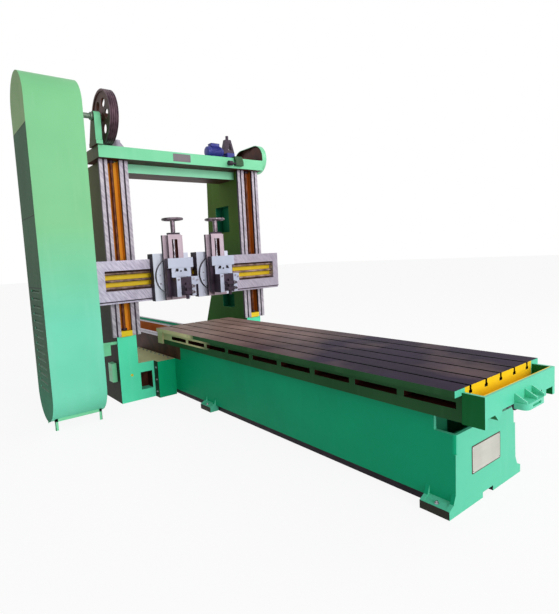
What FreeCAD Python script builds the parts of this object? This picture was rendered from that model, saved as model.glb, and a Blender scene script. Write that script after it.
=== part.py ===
"""Double-column planing machine, in millimetres.

X runs across the bed, Y along it and Z up. The floor is Z = 0, the middle of the table is X = 0,
and the front face of the column slideways is Y = 0. The table's near end is towards -Y.
"""
import FreeCAD, Part
import os
import Sketcher
from FreeCAD import Placement, Rotation, Vector

# Driving sizes
SIZES = {
    # Fits
    "slide_fit": 0.3,
    "shaft_fit": 0.05,
    # Table
    "table_length": 4380,
    "table_half": 600,
    "table_top": 931,
    "table_front": -4300,
    "slab_thick": 45,
    "box_half": 500,
    "box_floor": 775,
    "skirt_foot": 697,
    "skirt_wall": 38,
    "skirt_roof": 760,
    "guide_inset": 80,
    "guide_half": 48,
    "guide_tip": 716,
    "guide_flat": 10,
    "slot_count": 5,
    "slot_edge": 90,
    "slot_neck": 24,
    "slot_neck_depth": 30,
    "slot_head": 42,
    "slot_head_depth": 22,
    "window_count": 9,
    "window_pitch": 460,
    "window_length": 400,
    "window_low": 780,
    "window_high": 826,
    "window_depth": 150,
    "window_margin": 50,
    # Troughs at the table ends
    "trough_length": 150,
    "trough_flare": 18,
    "trough_top": 905,
    "trough_wall": 25,
    "trough_floor": 800,
    # Rack and its end bracket
    "rack_half": 60,
    "rack_back": 40,
    "tooth_pitch": 50,
    "tooth_depth": 32,
    "tooth_root": 32,
    "tooth_tip": 15,
    "rack_end_gap": 10,
    "bracket_half": 145,
    "bracket_reach": 150,
    "bracket_low": 650,
    "bracket_high": 845,
    "bracket_plate": 25,
    "bracket_round": 40,
    "rib_count": 4,
    "rib_thick": 14,
    # Bed
    "bed_front": -4203,
    "bed_rear": 3832,
    "skirt_gap": 37,
    "bed_flare": 14,
    "bed_way_top": 757,
    "bed_skirt_top": 88,
    "plinth_inset": 20,
    "plinth_high": 72,
    "channel_wall": 35,
    "channel_floor": 430,
    "end_box_length": 162,
    "end_box_rim": 567,
    "end_box_wall": 30,
    "end_box_floor": 470,
    "end_corner": 28,
    "shoulder_half": 693,
    "shoulder_front": -87,
    "shoulder_rear": 1150,
    "shoulder_high": 500,
    "notch_half": 75,
    "notch_high": 40,
    "pad_reach": 95,
    "pad_length": 229,
    "pad_thick": 60,
    "pad_inner_y": -1000,
    "gusset_high": 180,
    "gusset_thick": 30,
    # Columns
    "column_in": 910,
    "column_out": 1169,
    "column_front": 40,
    "column_top": 3146,
    "column_back_top": 989,
    "column_back_mid": 1081,
    "column_mid_high": 1196,
    "column_back_low": 1266,
    "column_low_high": 755,
    "port_front": 383,
    "port_rear": 763,
    "port_low": 2250,
    "port_high": 2660,
    "port_depth": 120,
    "low_port_front": 364,
    "low_port_rear": 704,
    "low_port_low": 1036,
    "low_port_high": 1254,
    "foot_high": 500,
    "foot_rear": 1150,
    "hatch_in": 724,
    "hatch_out": 888,
    "hatch_low": 130,
    "hatch_high": 370,
    "hatch_depth": 160,
    # Slideways and lift screws
    "slideway_in": 857,
    "slideway_out": 1227,
    "slideway_low": 893,
    "recess_in": 970,
    "recess_out": 1121,
    "recess_depth": 115,
    "groove_edge": 44,
    "groove_wide": 23,
    "groove_depth": 12,
    "screw_x": 1052,
    "screw_y": 68,
    "screw_radius": 23,
    "screw_block_high": 68,
    # Beam and arch tie
    "beam_left": 1254,
    "beam_right": 1269,
    "beam_front": -98,
    "beam_rear": 400,
    "beam_high": 148,
    "tie_front": 183,
    "tie_rear": 600,
    "tie_low": 3031,
    # Belt guard
    "guard_left": 2126,
    "guard_right": 1530,
    "guard_y": -170,
    "guard_radius": 339,
    "guard_low": 416,
    "guard_drop": 12,
    "guard_wall": 6,
    "louver_count": 14,
    "louver_pitch": 86,
    "louver_high": 26,
    "louver_half": 190,
    "louver_low": 445,
    "leg_side": 40,
    "leg_inset": 36,
    "leg_spread": 150,
    "leg_bar_low": 25,
    "leg_top": 150,
    "tie_bar_low": 796,
    "tie_bar_high": 833,
    "tie_bar_y": 60,
    "tie_bar_deep": 40,
    "tie_plate_low": 661,
    "tie_plate_wide": 185,
    "tie_plate_thick": 8,
    "switch_y": 150,
    "switch_deep": 140,
    "switch_wide": 60,
    "switch_low": 280,
    "switch_high": 530,
    # Flywheel, its shaft and pedestal
    "wheel_x": -1130,
    "wheel_y": -67,
    "wheel_gap": 6,
    "wheel_radius": 328,
    "wheel_half": 54,
    "rim_thick": 34,
    "web_half": 6,
    "belt_half": 40,
    "belt_dip": 9,
    "hub_radius": 58,
    "hub_half": 48,
    "wheel_hole_radius": 52,
    "wheel_hole_place": 175,
    "wheel_hole_count": 6,
    "shaft_radius": 32,
    "shaft_stub": 30,
    "shaft_into_guard": 90,
    "shaft_port_gap": 10,
    "pedestal_left": 1284,
    "pedestal_right": 1204,
    "pedestal_base_reach": 182,
    "pedestal_head": 62,
    "pedestal_plate": 45,
    "pedestal_plate_lip": 14,
    # Lift drive on the beam
    "motor_left": 396,
    "motor_right": 672,
    "motor_y": 108,
    "motor_radius": 88,
    "motor_foot": 20,
    "motor_box": 150,
    "motor_box_high": 60,
    "gear_left": 705,
    "gear_right": 835,
    "gear_half": 95,
    "gear_high": 95,
    "yoke_left": 676,
    "yoke_right": 874,
    "yoke_foot": 30,
    "yoke_high": 210,
    "yoke_head_half": 48,
    "yoke_half": 32,
    "yoke_leg": 34,
    "yoke_window_low": 60,
    "yoke_window_high": 165,
    "yoke_cap_radius": 22,
    "yoke_cap_high": 58,
    # Lift control on the front of the beam
    "control_left": 735,
    "control_right": 868,
    "control_deep": 60,
    "control_rise": 32,
    "control_hook": 22,
    "control_y": -150,
    "control_rod_rise": 26,
    "control_rod": 12,
    "control_knob": 34,
    "control_knob_left": 606,
    "control_knob_right": 668,
    "lift_guard_x": 1269,
    "lift_guard_wide": 78,
    "lift_guard_radius": 215,
    "lift_shaft_high": 51,
    "lift_guard_reach": 345,
    "lift_pulley_radius": 192,
    "lift_pulley_wide": 40,
    "lift_shaft_radius": 18,
    "lift_stub": 45,
    # Cross rail
    "rail_half": 1421,
    "rail_front": -157,
    "rail_low": 1363,
    "rail_high": 1876,
    "rail_lip_low": 1337,
    "rail_lip_front": -140,
    "rail_lip_rear": -20,
    "rail_window_end": 96,
    "rail_window_low": 1497,
    "rail_window_high": 1750,
    "rail_window_depth": 97,
    "rail_nut_half": 60,
    "rail_nut_wide": 120,
    "rail_nut_gap": 6,
    "clamp_wide": 57,
    "clamp_lip": 40,
    "clamp_thick": 30,
    "rod_y": -110,
    "rod_radius": 17,
    "rod_low": 1532,
    "rod_mid": 1622,
    "rod_high": 1714,
    "rod_reach": 54,
    "rod_plate": 45,
    "rod_plate_low": 1480,
    "rod_plate_high": 1760,
    # Heads
    "left_head": -472,
    "right_head": 168,
    "head_z": 1640,
    "saddle_half": 255,
    "saddle_front": -257,
    "saddle_low": 1327,
    "saddle_high": 1940,
    "saddle_hook": 60,
    "disc_radius": 240,
    "disc_thick": 46,
    "guide_plate_half": 143,
    "guide_plate_thick": 42,
    "guide_low": 1334,
    "guide_high": 2170,
    "prism_half": 91,
    "prism_root_half": 68,
    "prism_deep": 58,
    "prism_low": 1345,
    "prism_high": 2175,
    "prism_recess_half": 40,
    "prism_recess_deep": 50,
    "prism_recess_low": 40,
    "prism_recess_top": 61,
    "cap_half": 80,
    "cap_thick": 22,
    "feed_sunk": 29,
    "feed_radius": 14,
    "feed_top": 2392,
    "hand_radius": 140,
    "hand_rim": 13,
    "hand_level": 20,
    "hand_hub": 31,
    "hand_hub_gap": 3,
    "hand_spoke_count": 3,
    "hand_spoke": 8,
    "slide_half": 177,
    "slide_rear_gap": 5,
    "slide_wrap_half": 130,
    "slide_wrap_deep": 87,
    "slide_face": 73,
    "slide_low": 1385,
    "slide_high": 1870,
    "slide_block_low": 1746,
    "slide_block_thick": 50,
    "apron_half": 136,
    "apron_thick": 52,
    "apron_low": 1630,
    "apron_gap": 2,
    "arc_radius": 134,
    "arc_half": 10,
    "arc_depth": 24,
    "arc_centre": 1600,
    "arc_inner": 40,
    "arc_outer": 84,
    "cheek_gap": 76,
    "cheek_wide": 58,
    "cheek_reach": 164,
    "cheek_low": 1387,
    "cheek_back": 34,
    "ear_wide": 34,
    "ear_low": 1527,
    "ear_deep": 78,
    "clapper_low": 1402,
    "pin_back": 34,
    "pin_low": 34,
    "pin_gap": 5,
    "pin_radius": 13,
    "clamp_bar_half": 70,
    "clamp_bar_reach": 88,
    "clamp_bar_high": 42,
    "clamp_bar_deep": 48,
    "clamp_bar_low": 1414,
    "clamp_bar_pitch": 76,
    "clamp_stud": 12,
    "clamp_stud_inset": 18,
    "clamp_stud_reach": 24,
    "tool_half": 16,
    "tool_deep": 30,
    "tool_low": 1352,
    "tool_high": 1560,
}


class Size:
    """A number together with the formula that ties it to the sheet."""

    def __init__(self, number, formula):
        self.number = number
        self.formula = formula

    def _join(self, other, sign, number, flip=False):
        first, second = (other, self) if flip else (self, other)
        return Size(number, f"({formula(first)} {sign} {formula(second)})")

    def __add__(self, other):
        return self._join(other, "+", self.number + number(other))

    def __radd__(self, other):
        return self._join(other, "+", number(other) + self.number, True)

    def __sub__(self, other):
        return self._join(other, "-", self.number - number(other))

    def __rsub__(self, other):
        return self._join(other, "-", number(other) - self.number, True)

    def __mul__(self, other):
        return self._join(other, "*", self.number * number(other))

    def __rmul__(self, other):
        return self._join(other, "*", number(other) * self.number, True)

    def __truediv__(self, other):
        return self._join(other, "/", self.number / number(other))

    def __neg__(self):
        return Size(-self.number, f"(0 - {self.formula})")


def number(value):
    return value.number if isinstance(value, Size) else value


def formula(value):
    return value.formula if isinstance(value, Size) else str(value)


class Sheet:
    """The spreadsheet of driving sizes, read as attributes."""

    def __init__(self, document, sizes):
        cells = document.addObject("Spreadsheet::Sheet", "sizes")
        for row, (name, value) in enumerate(sizes.items(), start=1):
            cells.set(f"A{row}", name)
            cells.set(f"B{row}", str(value))
            cells.setAlias(f"B{row}", name)
            setattr(self, name, Size(value, f"sizes.{name}"))


doc = FreeCAD.newDocument("planer")
s = Sheet(doc, SIZES)
doc.recompute()

PLANES = {"XY": "XY_Plane", "XZ": "XZ_Plane", "YZ": "YZ_Plane"}
AXES = {"X": "X_Axis", "Y": "Y_Axis", "Z": "Z_Axis"}
# A sketch on the XZ plane looks along -Y, so its offset along Y is taken the other way
OFFSET_SIGN = {"XY": 1, "XZ": -1, "YZ": 1}
TURNS = {
    "X": Rotation(Vector(0, 1, 0), 90),
    "Y": Rotation(Vector(1, 0, 0), -90),
    "Z": Rotation(),
}


# Helpers
def bind(thing, prop, value):
    """Tie a property of an object to the sheet, or set it where it is a plain number."""
    thing.setExpression(prop, formula(value))


def place(thing, x, y, z):
    for axis, value in zip("xyz", (x, y, z)):
        bind(thing, f"Placement.Base.{axis}", value)


def across(side, low, high):
    """The X span from low to high, mirrored to the left where side is -1."""
    return (low, high) if side > 0 else (-high, -low)


def block(x, y, z):
    """A box between the low and the high end of its span along each axis."""
    solid = doc.addObject("Part::Box", "block")
    for prop, (low, high) in zip(("Length", "Width", "Height"), (x, y, z)):
        bind(solid, prop, high - low)
    place(solid, x[0], y[0], z[0])
    return solid


def rod(axis, radius, span, centre):
    """A cylinder along an axis; centre is its place on the other two axes, in X, Y, Z order."""
    solid = doc.addObject("Part::Cylinder", "rod")
    solid.Placement = Placement(Vector(), TURNS[axis])
    bind(solid, "Radius", radius)
    bind(solid, "Height", span[1] - span[0])
    corner = list(centre)
    corner.insert("XYZ".index(axis), span[0])
    place(solid, *corner)
    return solid


def fuse(*shapes):
    joined = doc.addObject("Part::MultiFuse", "joined")
    joined.Shapes = list(shapes)
    joined.Refine = True
    return joined


def cut(base, *tools):
    tool = tools[0] if len(tools) == 1 else fuse(*tools)
    trimmed = doc.addObject("Part::Cut", "trimmed")
    trimmed.Base = base
    trimmed.Tool = tool
    trimmed.Refine = True
    return trimmed


def stadium(x, y, z_low, z_high, radius):
    """An upright slab with round ends, between the centres of its two end arcs."""
    return fuse(
        rod("X", radius, x, (y, z_low)),
        rod("X", radius, x, (y, z_high)),
        block(x, (y - radius, y + radius), (z_low, z_high)),
    )


def lying_stadium(x, y_low, y_high, z, radius):
    """The same slab lying along Y."""
    return fuse(
        rod("X", radius, x, (y_low, z)),
        rod("X", radius, x, (y_high, z)),
        block(x, (y_low, y_high), (z - radius, z + radius)),
    )


def origin_part(body, role):
    return next(part for part in body.Origin.OriginFeatures if part.Role == role)


def new_body():
    return doc.addObject("PartDesign::Body", "casting")


def sketch_on(body, plane, offset):
    sketch = body.newObject("Sketcher::SketchObject", "outline")
    sketch.AttachmentSupport = [(origin_part(body, PLANES[plane]), "")]
    sketch.MapMode = "FlatFace"
    bind(sketch, "AttachmentOffset.Base.z", OFFSET_SIGN[plane] * offset)
    return sketch


def pin_point(sketch, geometry, point, x, y):
    """Hold one point of a sketch at its distances from the sketch's origin."""
    for kind, value in (("DistanceX", x), ("DistanceY", y)):
        index = sketch.addConstraint(
            Sketcher.Constraint(kind, -1, 1, geometry, point, float(number(value)))
        )
        if isinstance(value, Size):
            bind(sketch, f"Constraints[{index}]", value)


def draw_outline(sketch, points):
    """A closed run of straight lines, each corner held by its two distances."""
    corners = [Vector(number(x), number(y), 0) for x, y in points]
    count = len(points)
    for index in range(count):
        sketch.addGeometry(Part.LineSegment(corners[index], corners[(index + 1) % count]))
    for index in range(count):
        sketch.addConstraint(
            Sketcher.Constraint("Coincident", index, 2, (index + 1) % count, 1)
        )
    for index, (x, y) in enumerate(points):
        pin_point(sketch, index, 1, x, y)


def draw_circle(sketch, x, y, radius):
    centre = Vector(number(x), number(y), 0)
    geometry = sketch.addGeometry(Part.Circle(centre, Vector(0, 0, 1), number(radius)))
    pin_point(sketch, geometry, 3, x, y)
    index = sketch.addConstraint(Sketcher.Constraint("Radius", geometry, float(number(radius))))
    bind(sketch, f"Constraints[{index}]", radius)


def extrude(body, kind, plane, span, draw):
    """A pad or pocket over its whole span, drawn half way along it."""
    low, high = span
    sketch = sketch_on(body, plane, (low + high) / 2)
    draw(sketch)
    feature = body.newObject(f"PartDesign::{kind}", kind.lower())
    feature.Profile = sketch
    feature.SideType = "Symmetric"
    bind(feature, "Length", high - low)
    return feature


def pad(body, plane, span, points):
    return extrude(body, "Pad", plane, span, lambda sketch: draw_outline(sketch, points))


def pocket(body, plane, span, points):
    return extrude(body, "Pocket", plane, span, lambda sketch: draw_outline(sketch, points))


def drill(body, plane, span, x, y, radius):
    return extrude(body, "Pocket", plane, span, lambda sketch: draw_circle(sketch, x, y, radius))


def repeat(body, feature, axis, pitch, count):
    """A row of copies of a feature along an axis of its body."""
    pattern = body.newObject("PartDesign::LinearPattern", "row")
    pattern.Originals = [feature]
    pattern.Direction = (origin_part(body, AXES[axis]), [""])
    bind(pattern, "Length", pitch * (count - 1))
    bind(pattern, "Occurrences", count)
    body.Tip = pattern
    return pattern


def spin(body, feature, axis, count):
    """Copies of a feature round an axis of its body."""
    pattern = body.newObject("PartDesign::PolarPattern", "ring")
    pattern.Originals = [feature]
    pattern.Axis = (origin_part(body, AXES[axis]), [""])
    pattern.Angle = 360
    bind(pattern, "Occurrences", count)
    body.Tip = pattern
    return pattern


def round_edges(body, feature, radius, chosen):
    """Fillet the edges of a feature that a test on their middle and direction picks."""
    doc.recompute()
    names = []
    for index, edge in enumerate(feature.Shape.Edges, start=1):
        if chosen(edge):
            names.append(f"Edge{index}")
    fillet = body.newObject("PartDesign::Fillet", "round")
    fillet.Base = (feature, names)
    bind(fillet, "Radius", radius)
    return fillet


def edge_along(edge, axis):
    ends = edge.Vertexes[-1].Point - edge.Vertexes[0].Point
    length = abs(ends["XYZ".index(axis)])
    return ends.Length > 0 and length > 0.999 * ends.Length


def rectangle(x, y):
    return [(x[0], y[0]), (x[1], y[0]), (x[1], y[1]), (x[0], y[1])]


# Lines that several pieces share
table_rear = s.table_front + s.table_length
slot_pitch = 2 * (s.box_half - s.slot_edge) / (s.slot_count - 1)
trough_half = s.box_half + s.trough_flare
bed_half = s.box_half - s.skirt_wall - s.skirt_gap
bed_low_half = bed_half + s.bed_flare
plinth_half = bed_half - s.plinth_inset
pad_half = bed_half + s.pad_reach
guide_offset = bed_half - s.guide_inset
channel_half = guide_offset - s.guide_half - s.channel_wall
rail_window_half = s.rail_half - s.rail_window_end
beam_top = s.column_top + s.beam_high
wheel_z = beam_top + s.wheel_gap + s.wheel_radius
guard_high = wheel_z - s.guard_drop
lift_z = beam_top + s.lift_shaft_high
control_low = s.column_top + s.control_rise
control_z = control_low + s.control_rod_rise
disc_front = s.saddle_front - s.slide_fit - s.disc_thick
plate_front = disc_front - s.guide_plate_thick
prism_front = plate_front - s.prism_deep
feed_y = prism_front + s.feed_sunk
slide_rear = plate_front - s.slide_rear_gap
slide_front = prism_front - s.slide_face
apron_front = slide_front - s.apron_thick
apron_high = s.slide_block_low - s.apron_gap
clapper_rear = slide_front - s.cheek_back - s.slide_fit
clapper_front = slide_front - s.cheek_reach - s.slide_fit
pin_z = s.apron_low - s.pin_low - s.pin_gap
recess_low = s.prism_low + s.prism_recess_low
recess_high = s.prism_high - s.prism_recess_top
pin_y = clapper_rear - s.pin_back


# Table
def under_table(half):
    """The underside from the left skirt to the right one: vee guide, flat guide and notches."""
    inner = half - s.skirt_wall
    left, right = -guide_offset, guide_offset
    return [
        (-half, s.skirt_foot),
        (-inner, s.skirt_foot),
        (-inner, s.skirt_roof),
        (left - s.guide_half, s.skirt_roof),
        (left - s.guide_flat / 2, s.guide_tip),
        (left + s.guide_flat / 2, s.guide_tip),
        (left + s.guide_half, s.skirt_roof),
        (left + s.guide_half, s.box_floor),
        (right - s.guide_half, s.box_floor),
        (right - s.guide_half, s.guide_tip),
        (right + s.guide_half / 2, s.guide_tip),
        (right + s.guide_half / 2, s.skirt_roof),
        (inner, s.skirt_roof),
        (inner, s.skirt_foot),
        (half, s.skirt_foot),
    ]


def make_table():
    body = new_body()
    slab_low = s.table_top - s.slab_thick
    pad(body, "XZ", (s.table_front, table_rear), under_table(s.box_half) + [
        (s.box_half, slab_low),
        (s.table_half, slab_low),
        (s.table_half, s.table_top),
        (-s.table_half, s.table_top),
        (-s.table_half, slab_low),
        (-s.box_half, slab_low),
    ])
    first = slot_pitch * (s.slot_count - 1) / -2
    head_top = s.table_top - s.slot_neck_depth
    head_low = head_top - s.slot_head_depth
    slot = pocket(body, "XZ", (s.table_front, table_rear), [
        (first - s.slot_neck / 2, s.table_top),
        (first - s.slot_neck / 2, head_top),
        (first - s.slot_head / 2, head_top),
        (first - s.slot_head / 2, head_low),
        (first + s.slot_head / 2, head_low),
        (first + s.slot_head / 2, head_top),
        (first + s.slot_neck / 2, head_top),
        (first + s.slot_neck / 2, s.table_top),
    ])
    repeat(body, slot, "X", slot_pitch, s.slot_count)
    start = s.table_front + s.window_margin
    for side in (-1, 1):
        span = across(side, s.box_half - s.window_depth, s.box_half)
        window = pocket(body, "YZ", span, rectangle(
            (start, start + s.window_length), (s.window_low, s.window_high)))
        repeat(body, window, "Y", s.window_pitch, s.window_count)
    return body


def make_troughs():
    """An open trough across each end of the table, on the table's own section."""
    ends = []
    for low, high, wall_low, wall_high in (
        (s.table_front - s.trough_length, s.table_front, s.trough_wall, 0),
        (table_rear, table_rear + s.trough_length, 0, s.trough_wall),
    ):
        body = new_body()
        pad(body, "XZ", (low, high), under_table(trough_half) + [
            (trough_half, s.trough_top),
            (-trough_half, s.trough_top),
        ])
        inner = trough_half - s.trough_wall
        pocket(body, "XZ", (low + wall_low, high - wall_high), rectangle(
            (-inner, inner), (s.trough_floor, s.trough_top)))
        ends.append(body)
    return fuse(*ends)


def make_rack():
    """A straight rack under the middle of the table, its teeth pointing down."""
    body = new_body()
    front = s.table_front - s.trough_length + s.rack_end_gap
    rear = table_rear + s.trough_length - s.rack_end_gap
    root = s.box_floor - s.rack_back
    half = s.rack_half
    pad(body, "XZ", (front, rear), rectangle((-half, half), (root, s.box_floor)))
    count = (rear - front) / s.tooth_pitch
    centre = front + s.tooth_pitch / 2
    tooth = pad(body, "YZ", (-half, half), [
        (centre - s.tooth_root / 2, root),
        (centre - s.tooth_tip / 2, root - s.tooth_depth),
        (centre + s.tooth_tip / 2, root - s.tooth_depth),
        (centre + s.tooth_root / 2, root),
    ])
    whole = Size(int(count.number), f"floor({count.formula})")
    repeat(body, tooth, "Y", s.tooth_pitch, whole)
    return body


def make_rack_bracket():
    """The ribbed bracket on the near trough that closes the end of the rack."""
    body = new_body()
    wall = s.table_front - s.trough_length
    front = wall - s.bracket_reach
    half = s.bracket_half
    top = s.skirt_foot
    pad(body, "XZ", (front, wall), rectangle((-half, half), (top - s.bracket_plate, top)))
    lip = pad(body, "XZ", (front, front + s.bracket_plate), rectangle(
        (-half, half), (s.bracket_low, top)))
    round_edges(body, lip, s.bracket_round, lambda edge: edge_along(edge, "Y")
                and edge.CenterOfMass.z < number(s.bracket_low) + 1)
    pad(body, "XZ", (wall - s.rib_thick, wall), rectangle((-half, half), (top, s.box_floor)))
    rib = pad(body, "YZ", (-half, s.rib_thick - half), [
        (wall, top),
        (wall, s.bracket_high),
        (front, top),
    ])
    repeat(body, rib, "X", (2 * half - s.rib_thick) / (s.rib_count - 1), s.rib_count)
    return body


# Bed
def base_section():
    """The lower part of the bed: plinth, leaning sides and the floor of the channel."""
    half = bed_side(s.channel_floor)
    return [
        (-plinth_half, 0),
        (plinth_half, 0),
        (plinth_half, s.plinth_high),
        (bed_low_half, s.plinth_high),
        (bed_low_half, s.bed_skirt_top),
        (half, s.channel_floor),
        (-half, s.channel_floor),
        (-bed_low_half, s.bed_skirt_top),
        (-bed_low_half, s.plinth_high),
        (-plinth_half, s.plinth_high),
    ]


def vee_wall():
    """The section of the left wall, with the groove of the vee way in its top."""
    top = s.bed_way_top
    middle = -guide_offset
    # The groove's flanks run parallel to the guide, one slide fit away from it
    groove_low = s.guide_tip - 2 * s.slide_fit
    slope = (s.guide_half - s.guide_flat / 2) / (s.skirt_roof - s.guide_tip)
    spread = s.guide_flat / 2 + slope * (top - groove_low)
    return [
        (-bed_side(s.channel_floor), s.channel_floor),
        (-channel_half, s.channel_floor),
        (-channel_half, top),
        (middle + spread, top),
        (middle + s.guide_flat / 2, groove_low),
        (middle - s.guide_flat / 2, groove_low),
        (middle - spread, top),
        (-bed_half, top),
    ]


def flat_wall():
    """The section of the right wall, with the bench of the flat way beside the channel."""
    top = s.bed_way_top
    bench = s.guide_tip - s.slide_fit
    edge = guide_offset + s.guide_half / 2 + s.slide_fit
    return [
        (bed_side(s.channel_floor), s.channel_floor),
        (bed_half, top),
        (edge, top),
        (edge, bench),
        (channel_half, bench),
        (channel_half, s.channel_floor),
    ]


def bed_side(level):
    """How far the leaning side of the bed stands out at a level above the skirt."""
    lean = (bed_low_half - bed_half) / (s.bed_way_top - s.bed_skirt_top)
    return bed_half + lean * (s.bed_way_top - level)


def foot_pad(side, low, high):
    """A flared foot beside the bed with two upright gussets on it."""
    half = bed_half - s.end_box_wall
    x = across(side, half, pad_half)
    flare = new_body()
    pad(flare, "XZ", (low, high), [
        (side * half, 0),
        (side * pad_half, 0),
        (side * pad_half, s.pad_thick),
        (side * bed_low_half, s.bed_skirt_top),
        (side * half, s.bed_skirt_top),
    ])
    pieces = [flare, block(x, (low, high), (0, s.pad_thick))]
    knee = (pad_half - bed_low_half) / 3
    for near in (low, high - s.gusset_thick):
        gusset = new_body()
        pad(gusset, "XZ", (near, near + s.gusset_thick), [
            (side * half, s.pad_thick),
            (side * pad_half, s.pad_thick),
            (side * (bed_low_half + knee), s.pad_thick + knee),
            (side * bed_half, s.gusset_high),
            (side * half, s.gusset_high),
        ])
        pieces.append(gusset)
    return pieces


def upright_at(level):
    """Picks the near upright edges at one end of the bed."""
    def chosen(edge):
        middle = edge.CenterOfMass
        leans = abs(edge.Vertexes[-1].Point.z - edge.Vertexes[0].Point.z)
        return abs(middle.y - number(level)) < 1 and leans > number(s.pad_thick)
    return chosen


def make_bed():
    """The long base of the bed with its flared feet and a notch under each end."""
    main = new_body()
    pad(main, "XZ", (s.bed_front, s.bed_rear), base_section())
    pieces = [main]
    for low in (s.bed_front, s.pad_inner_y - s.pad_length / 2, s.bed_rear - s.pad_length):
        for side in (-1, 1):
            pieces += foot_pad(side, low, low + s.pad_length)
    notches = [
        block((-s.notch_half, s.notch_half), y, (0, s.notch_high))
        for y in ((s.bed_front, s.bed_front + s.pad_length),
                  (s.bed_rear - s.pad_length, s.bed_rear))
    ]
    return cut(fuse(*pieces), *notches)


def make_bed_ways():
    """The two upright walls of the bed that carry the vee way and the flat way."""
    y = (s.bed_front + s.end_box_length, s.bed_rear - s.end_box_length)
    walls = []
    for section in (vee_wall(), flat_wall()):
        body = new_body()
        pad(body, "XZ", y, section)
        walls.append(body)
    return fuse(*walls)


def make_bed_shoulders():
    """The blocks beside the bed that the columns are bolted to."""
    shoulders = []
    for side in (-1, 1):
        body = new_body()
        pad(body, "XZ", (s.shoulder_front, s.shoulder_rear), [
            (side * bed_low_half, 0),
            (side * s.shoulder_half, 0),
            (side * s.shoulder_half, s.shoulder_high),
            (side * bed_side(s.shoulder_high), s.shoulder_high),
            (side * bed_low_half, s.bed_skirt_top),
        ])
        shoulders.append(body)
    return fuse(*shoulders)


def make_bed_end_trays():
    """The open chip tray on the base at each end of the bed, rounded at its outer corners."""
    trays = []
    for low, high, outer in (
        (s.bed_front, s.bed_front + s.end_box_length, s.bed_front),
        (s.bed_rear - s.end_box_length, s.bed_rear, s.bed_rear),
    ):
        tray = new_body()
        foot, rim = bed_side(s.channel_floor), bed_side(s.end_box_rim)
        solid = pad(tray, "XZ", (low, high), [
            (-foot, s.channel_floor),
            (foot, s.channel_floor),
            (rim, s.end_box_rim),
            (-rim, s.end_box_rim),
        ])
        round_edges(tray, solid, s.end_corner, upright_at(outer))
        inner = rim - s.end_box_wall
        inside = (low + s.end_box_wall, high) if outer is s.bed_front else (
            low, high - s.end_box_wall)
        pocket(tray, "XZ", inside, rectangle(
            (-inner, inner), (s.end_box_floor, s.end_box_rim)))
        trays.append(tray)
    return fuse(*trays)


# Columns
def make_column(side):
    """An upright box casting that leans back to a long foot, with an inboard foot beside the bed."""
    body = new_body()
    x = across(side, s.column_in, s.column_out)
    pad(body, "YZ", x, [
        (s.column_front, 0),
        (s.column_back_low, 0),
        (s.column_back_low, s.column_low_high),
        (s.column_back_mid, s.column_mid_high),
        (s.column_back_top, s.column_top),
        (s.column_front, s.column_top),
    ])
    foot = across(side, s.shoulder_half, s.column_in)
    pad(body, "YZ", foot, rectangle((s.column_front, s.foot_rear), (0, s.foot_high)))
    pocket(body, "XY", (s.slideway_low, s.column_top), rectangle(
        across(side, s.recess_in, s.recess_out), (s.column_front, s.recess_depth)))
    pocket(body, "YZ", across(side, s.column_in, s.column_in + s.port_depth), rectangle(
        (s.port_front, s.port_rear), (s.port_low, s.port_high)))
    pocket(body, "YZ", across(side, s.column_in, s.column_in + s.port_depth), rectangle(
        (s.low_port_front, s.low_port_rear), (s.low_port_low, s.low_port_high)))
    pocket(body, "XZ", (s.column_front, s.column_front + s.hatch_depth), rectangle(
        across(side, s.hatch_in, s.hatch_out), (s.hatch_low, s.hatch_high)))
    return body


def slideway_strips(side):
    """The two ground strips on the front of a column, each with an oil groove."""
    strips = []
    for inner, outer, groove in (
        (s.slideway_in, s.recess_in, s.slideway_in + s.groove_edge),
        (s.recess_out, s.slideway_out, s.slideway_out - s.groove_edge - s.groove_wide),
    ):
        body = new_body()
        far = groove + s.groove_wide
        pad(body, "XY", (s.slideway_low, s.column_top), [
            (side * inner, s.column_front),
            (side * inner, 0),
            (side * groove, 0),
            (side * groove, s.groove_depth),
            (side * far, s.groove_depth),
            (side * far, 0),
            (side * outer, 0),
            (side * outer, s.column_front),
        ])
        strips.append(body)
    return strips


def make_slideways():
    """The four strips that the cross rail slides on."""
    return fuse(*slideway_strips(-1), *slideway_strips(1))


def lift_screw(side):
    return rod("Z", s.screw_radius, (s.slideway_low + s.screw_block_high, s.column_top),
               (side * s.screw_x, s.screw_y))


def make_lift_screws():
    """The two screws that lift the rail."""
    return fuse(lift_screw(-1), lift_screw(1))


def make_screw_blocks():
    """The block at the foot of each lift screw."""
    return fuse(*[
        block(across(side, s.recess_in, s.recess_out), (0, s.recess_depth),
              (s.slideway_low, s.slideway_low + s.screw_block_high))
        for side in (-1, 1)
    ])


# Beam and arch tie
def make_beam():
    return block((-s.beam_left, s.beam_right), (s.beam_front, s.beam_rear),
                 (s.column_top, beam_top))


def make_arch_tie():
    return block((-s.column_in, s.column_in), (s.tie_front, s.tie_rear),
                 (s.tie_low, s.column_top))


# Belt guard
def guard_slab(x, radius):
    return stadium(x, s.guard_y, s.guard_low, guard_high, radius)


def make_guard_band():
    x = (-s.guard_left, -s.guard_right)
    return cut(guard_slab(x, s.guard_radius), guard_slab(x, s.guard_radius - s.guard_wall))


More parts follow.
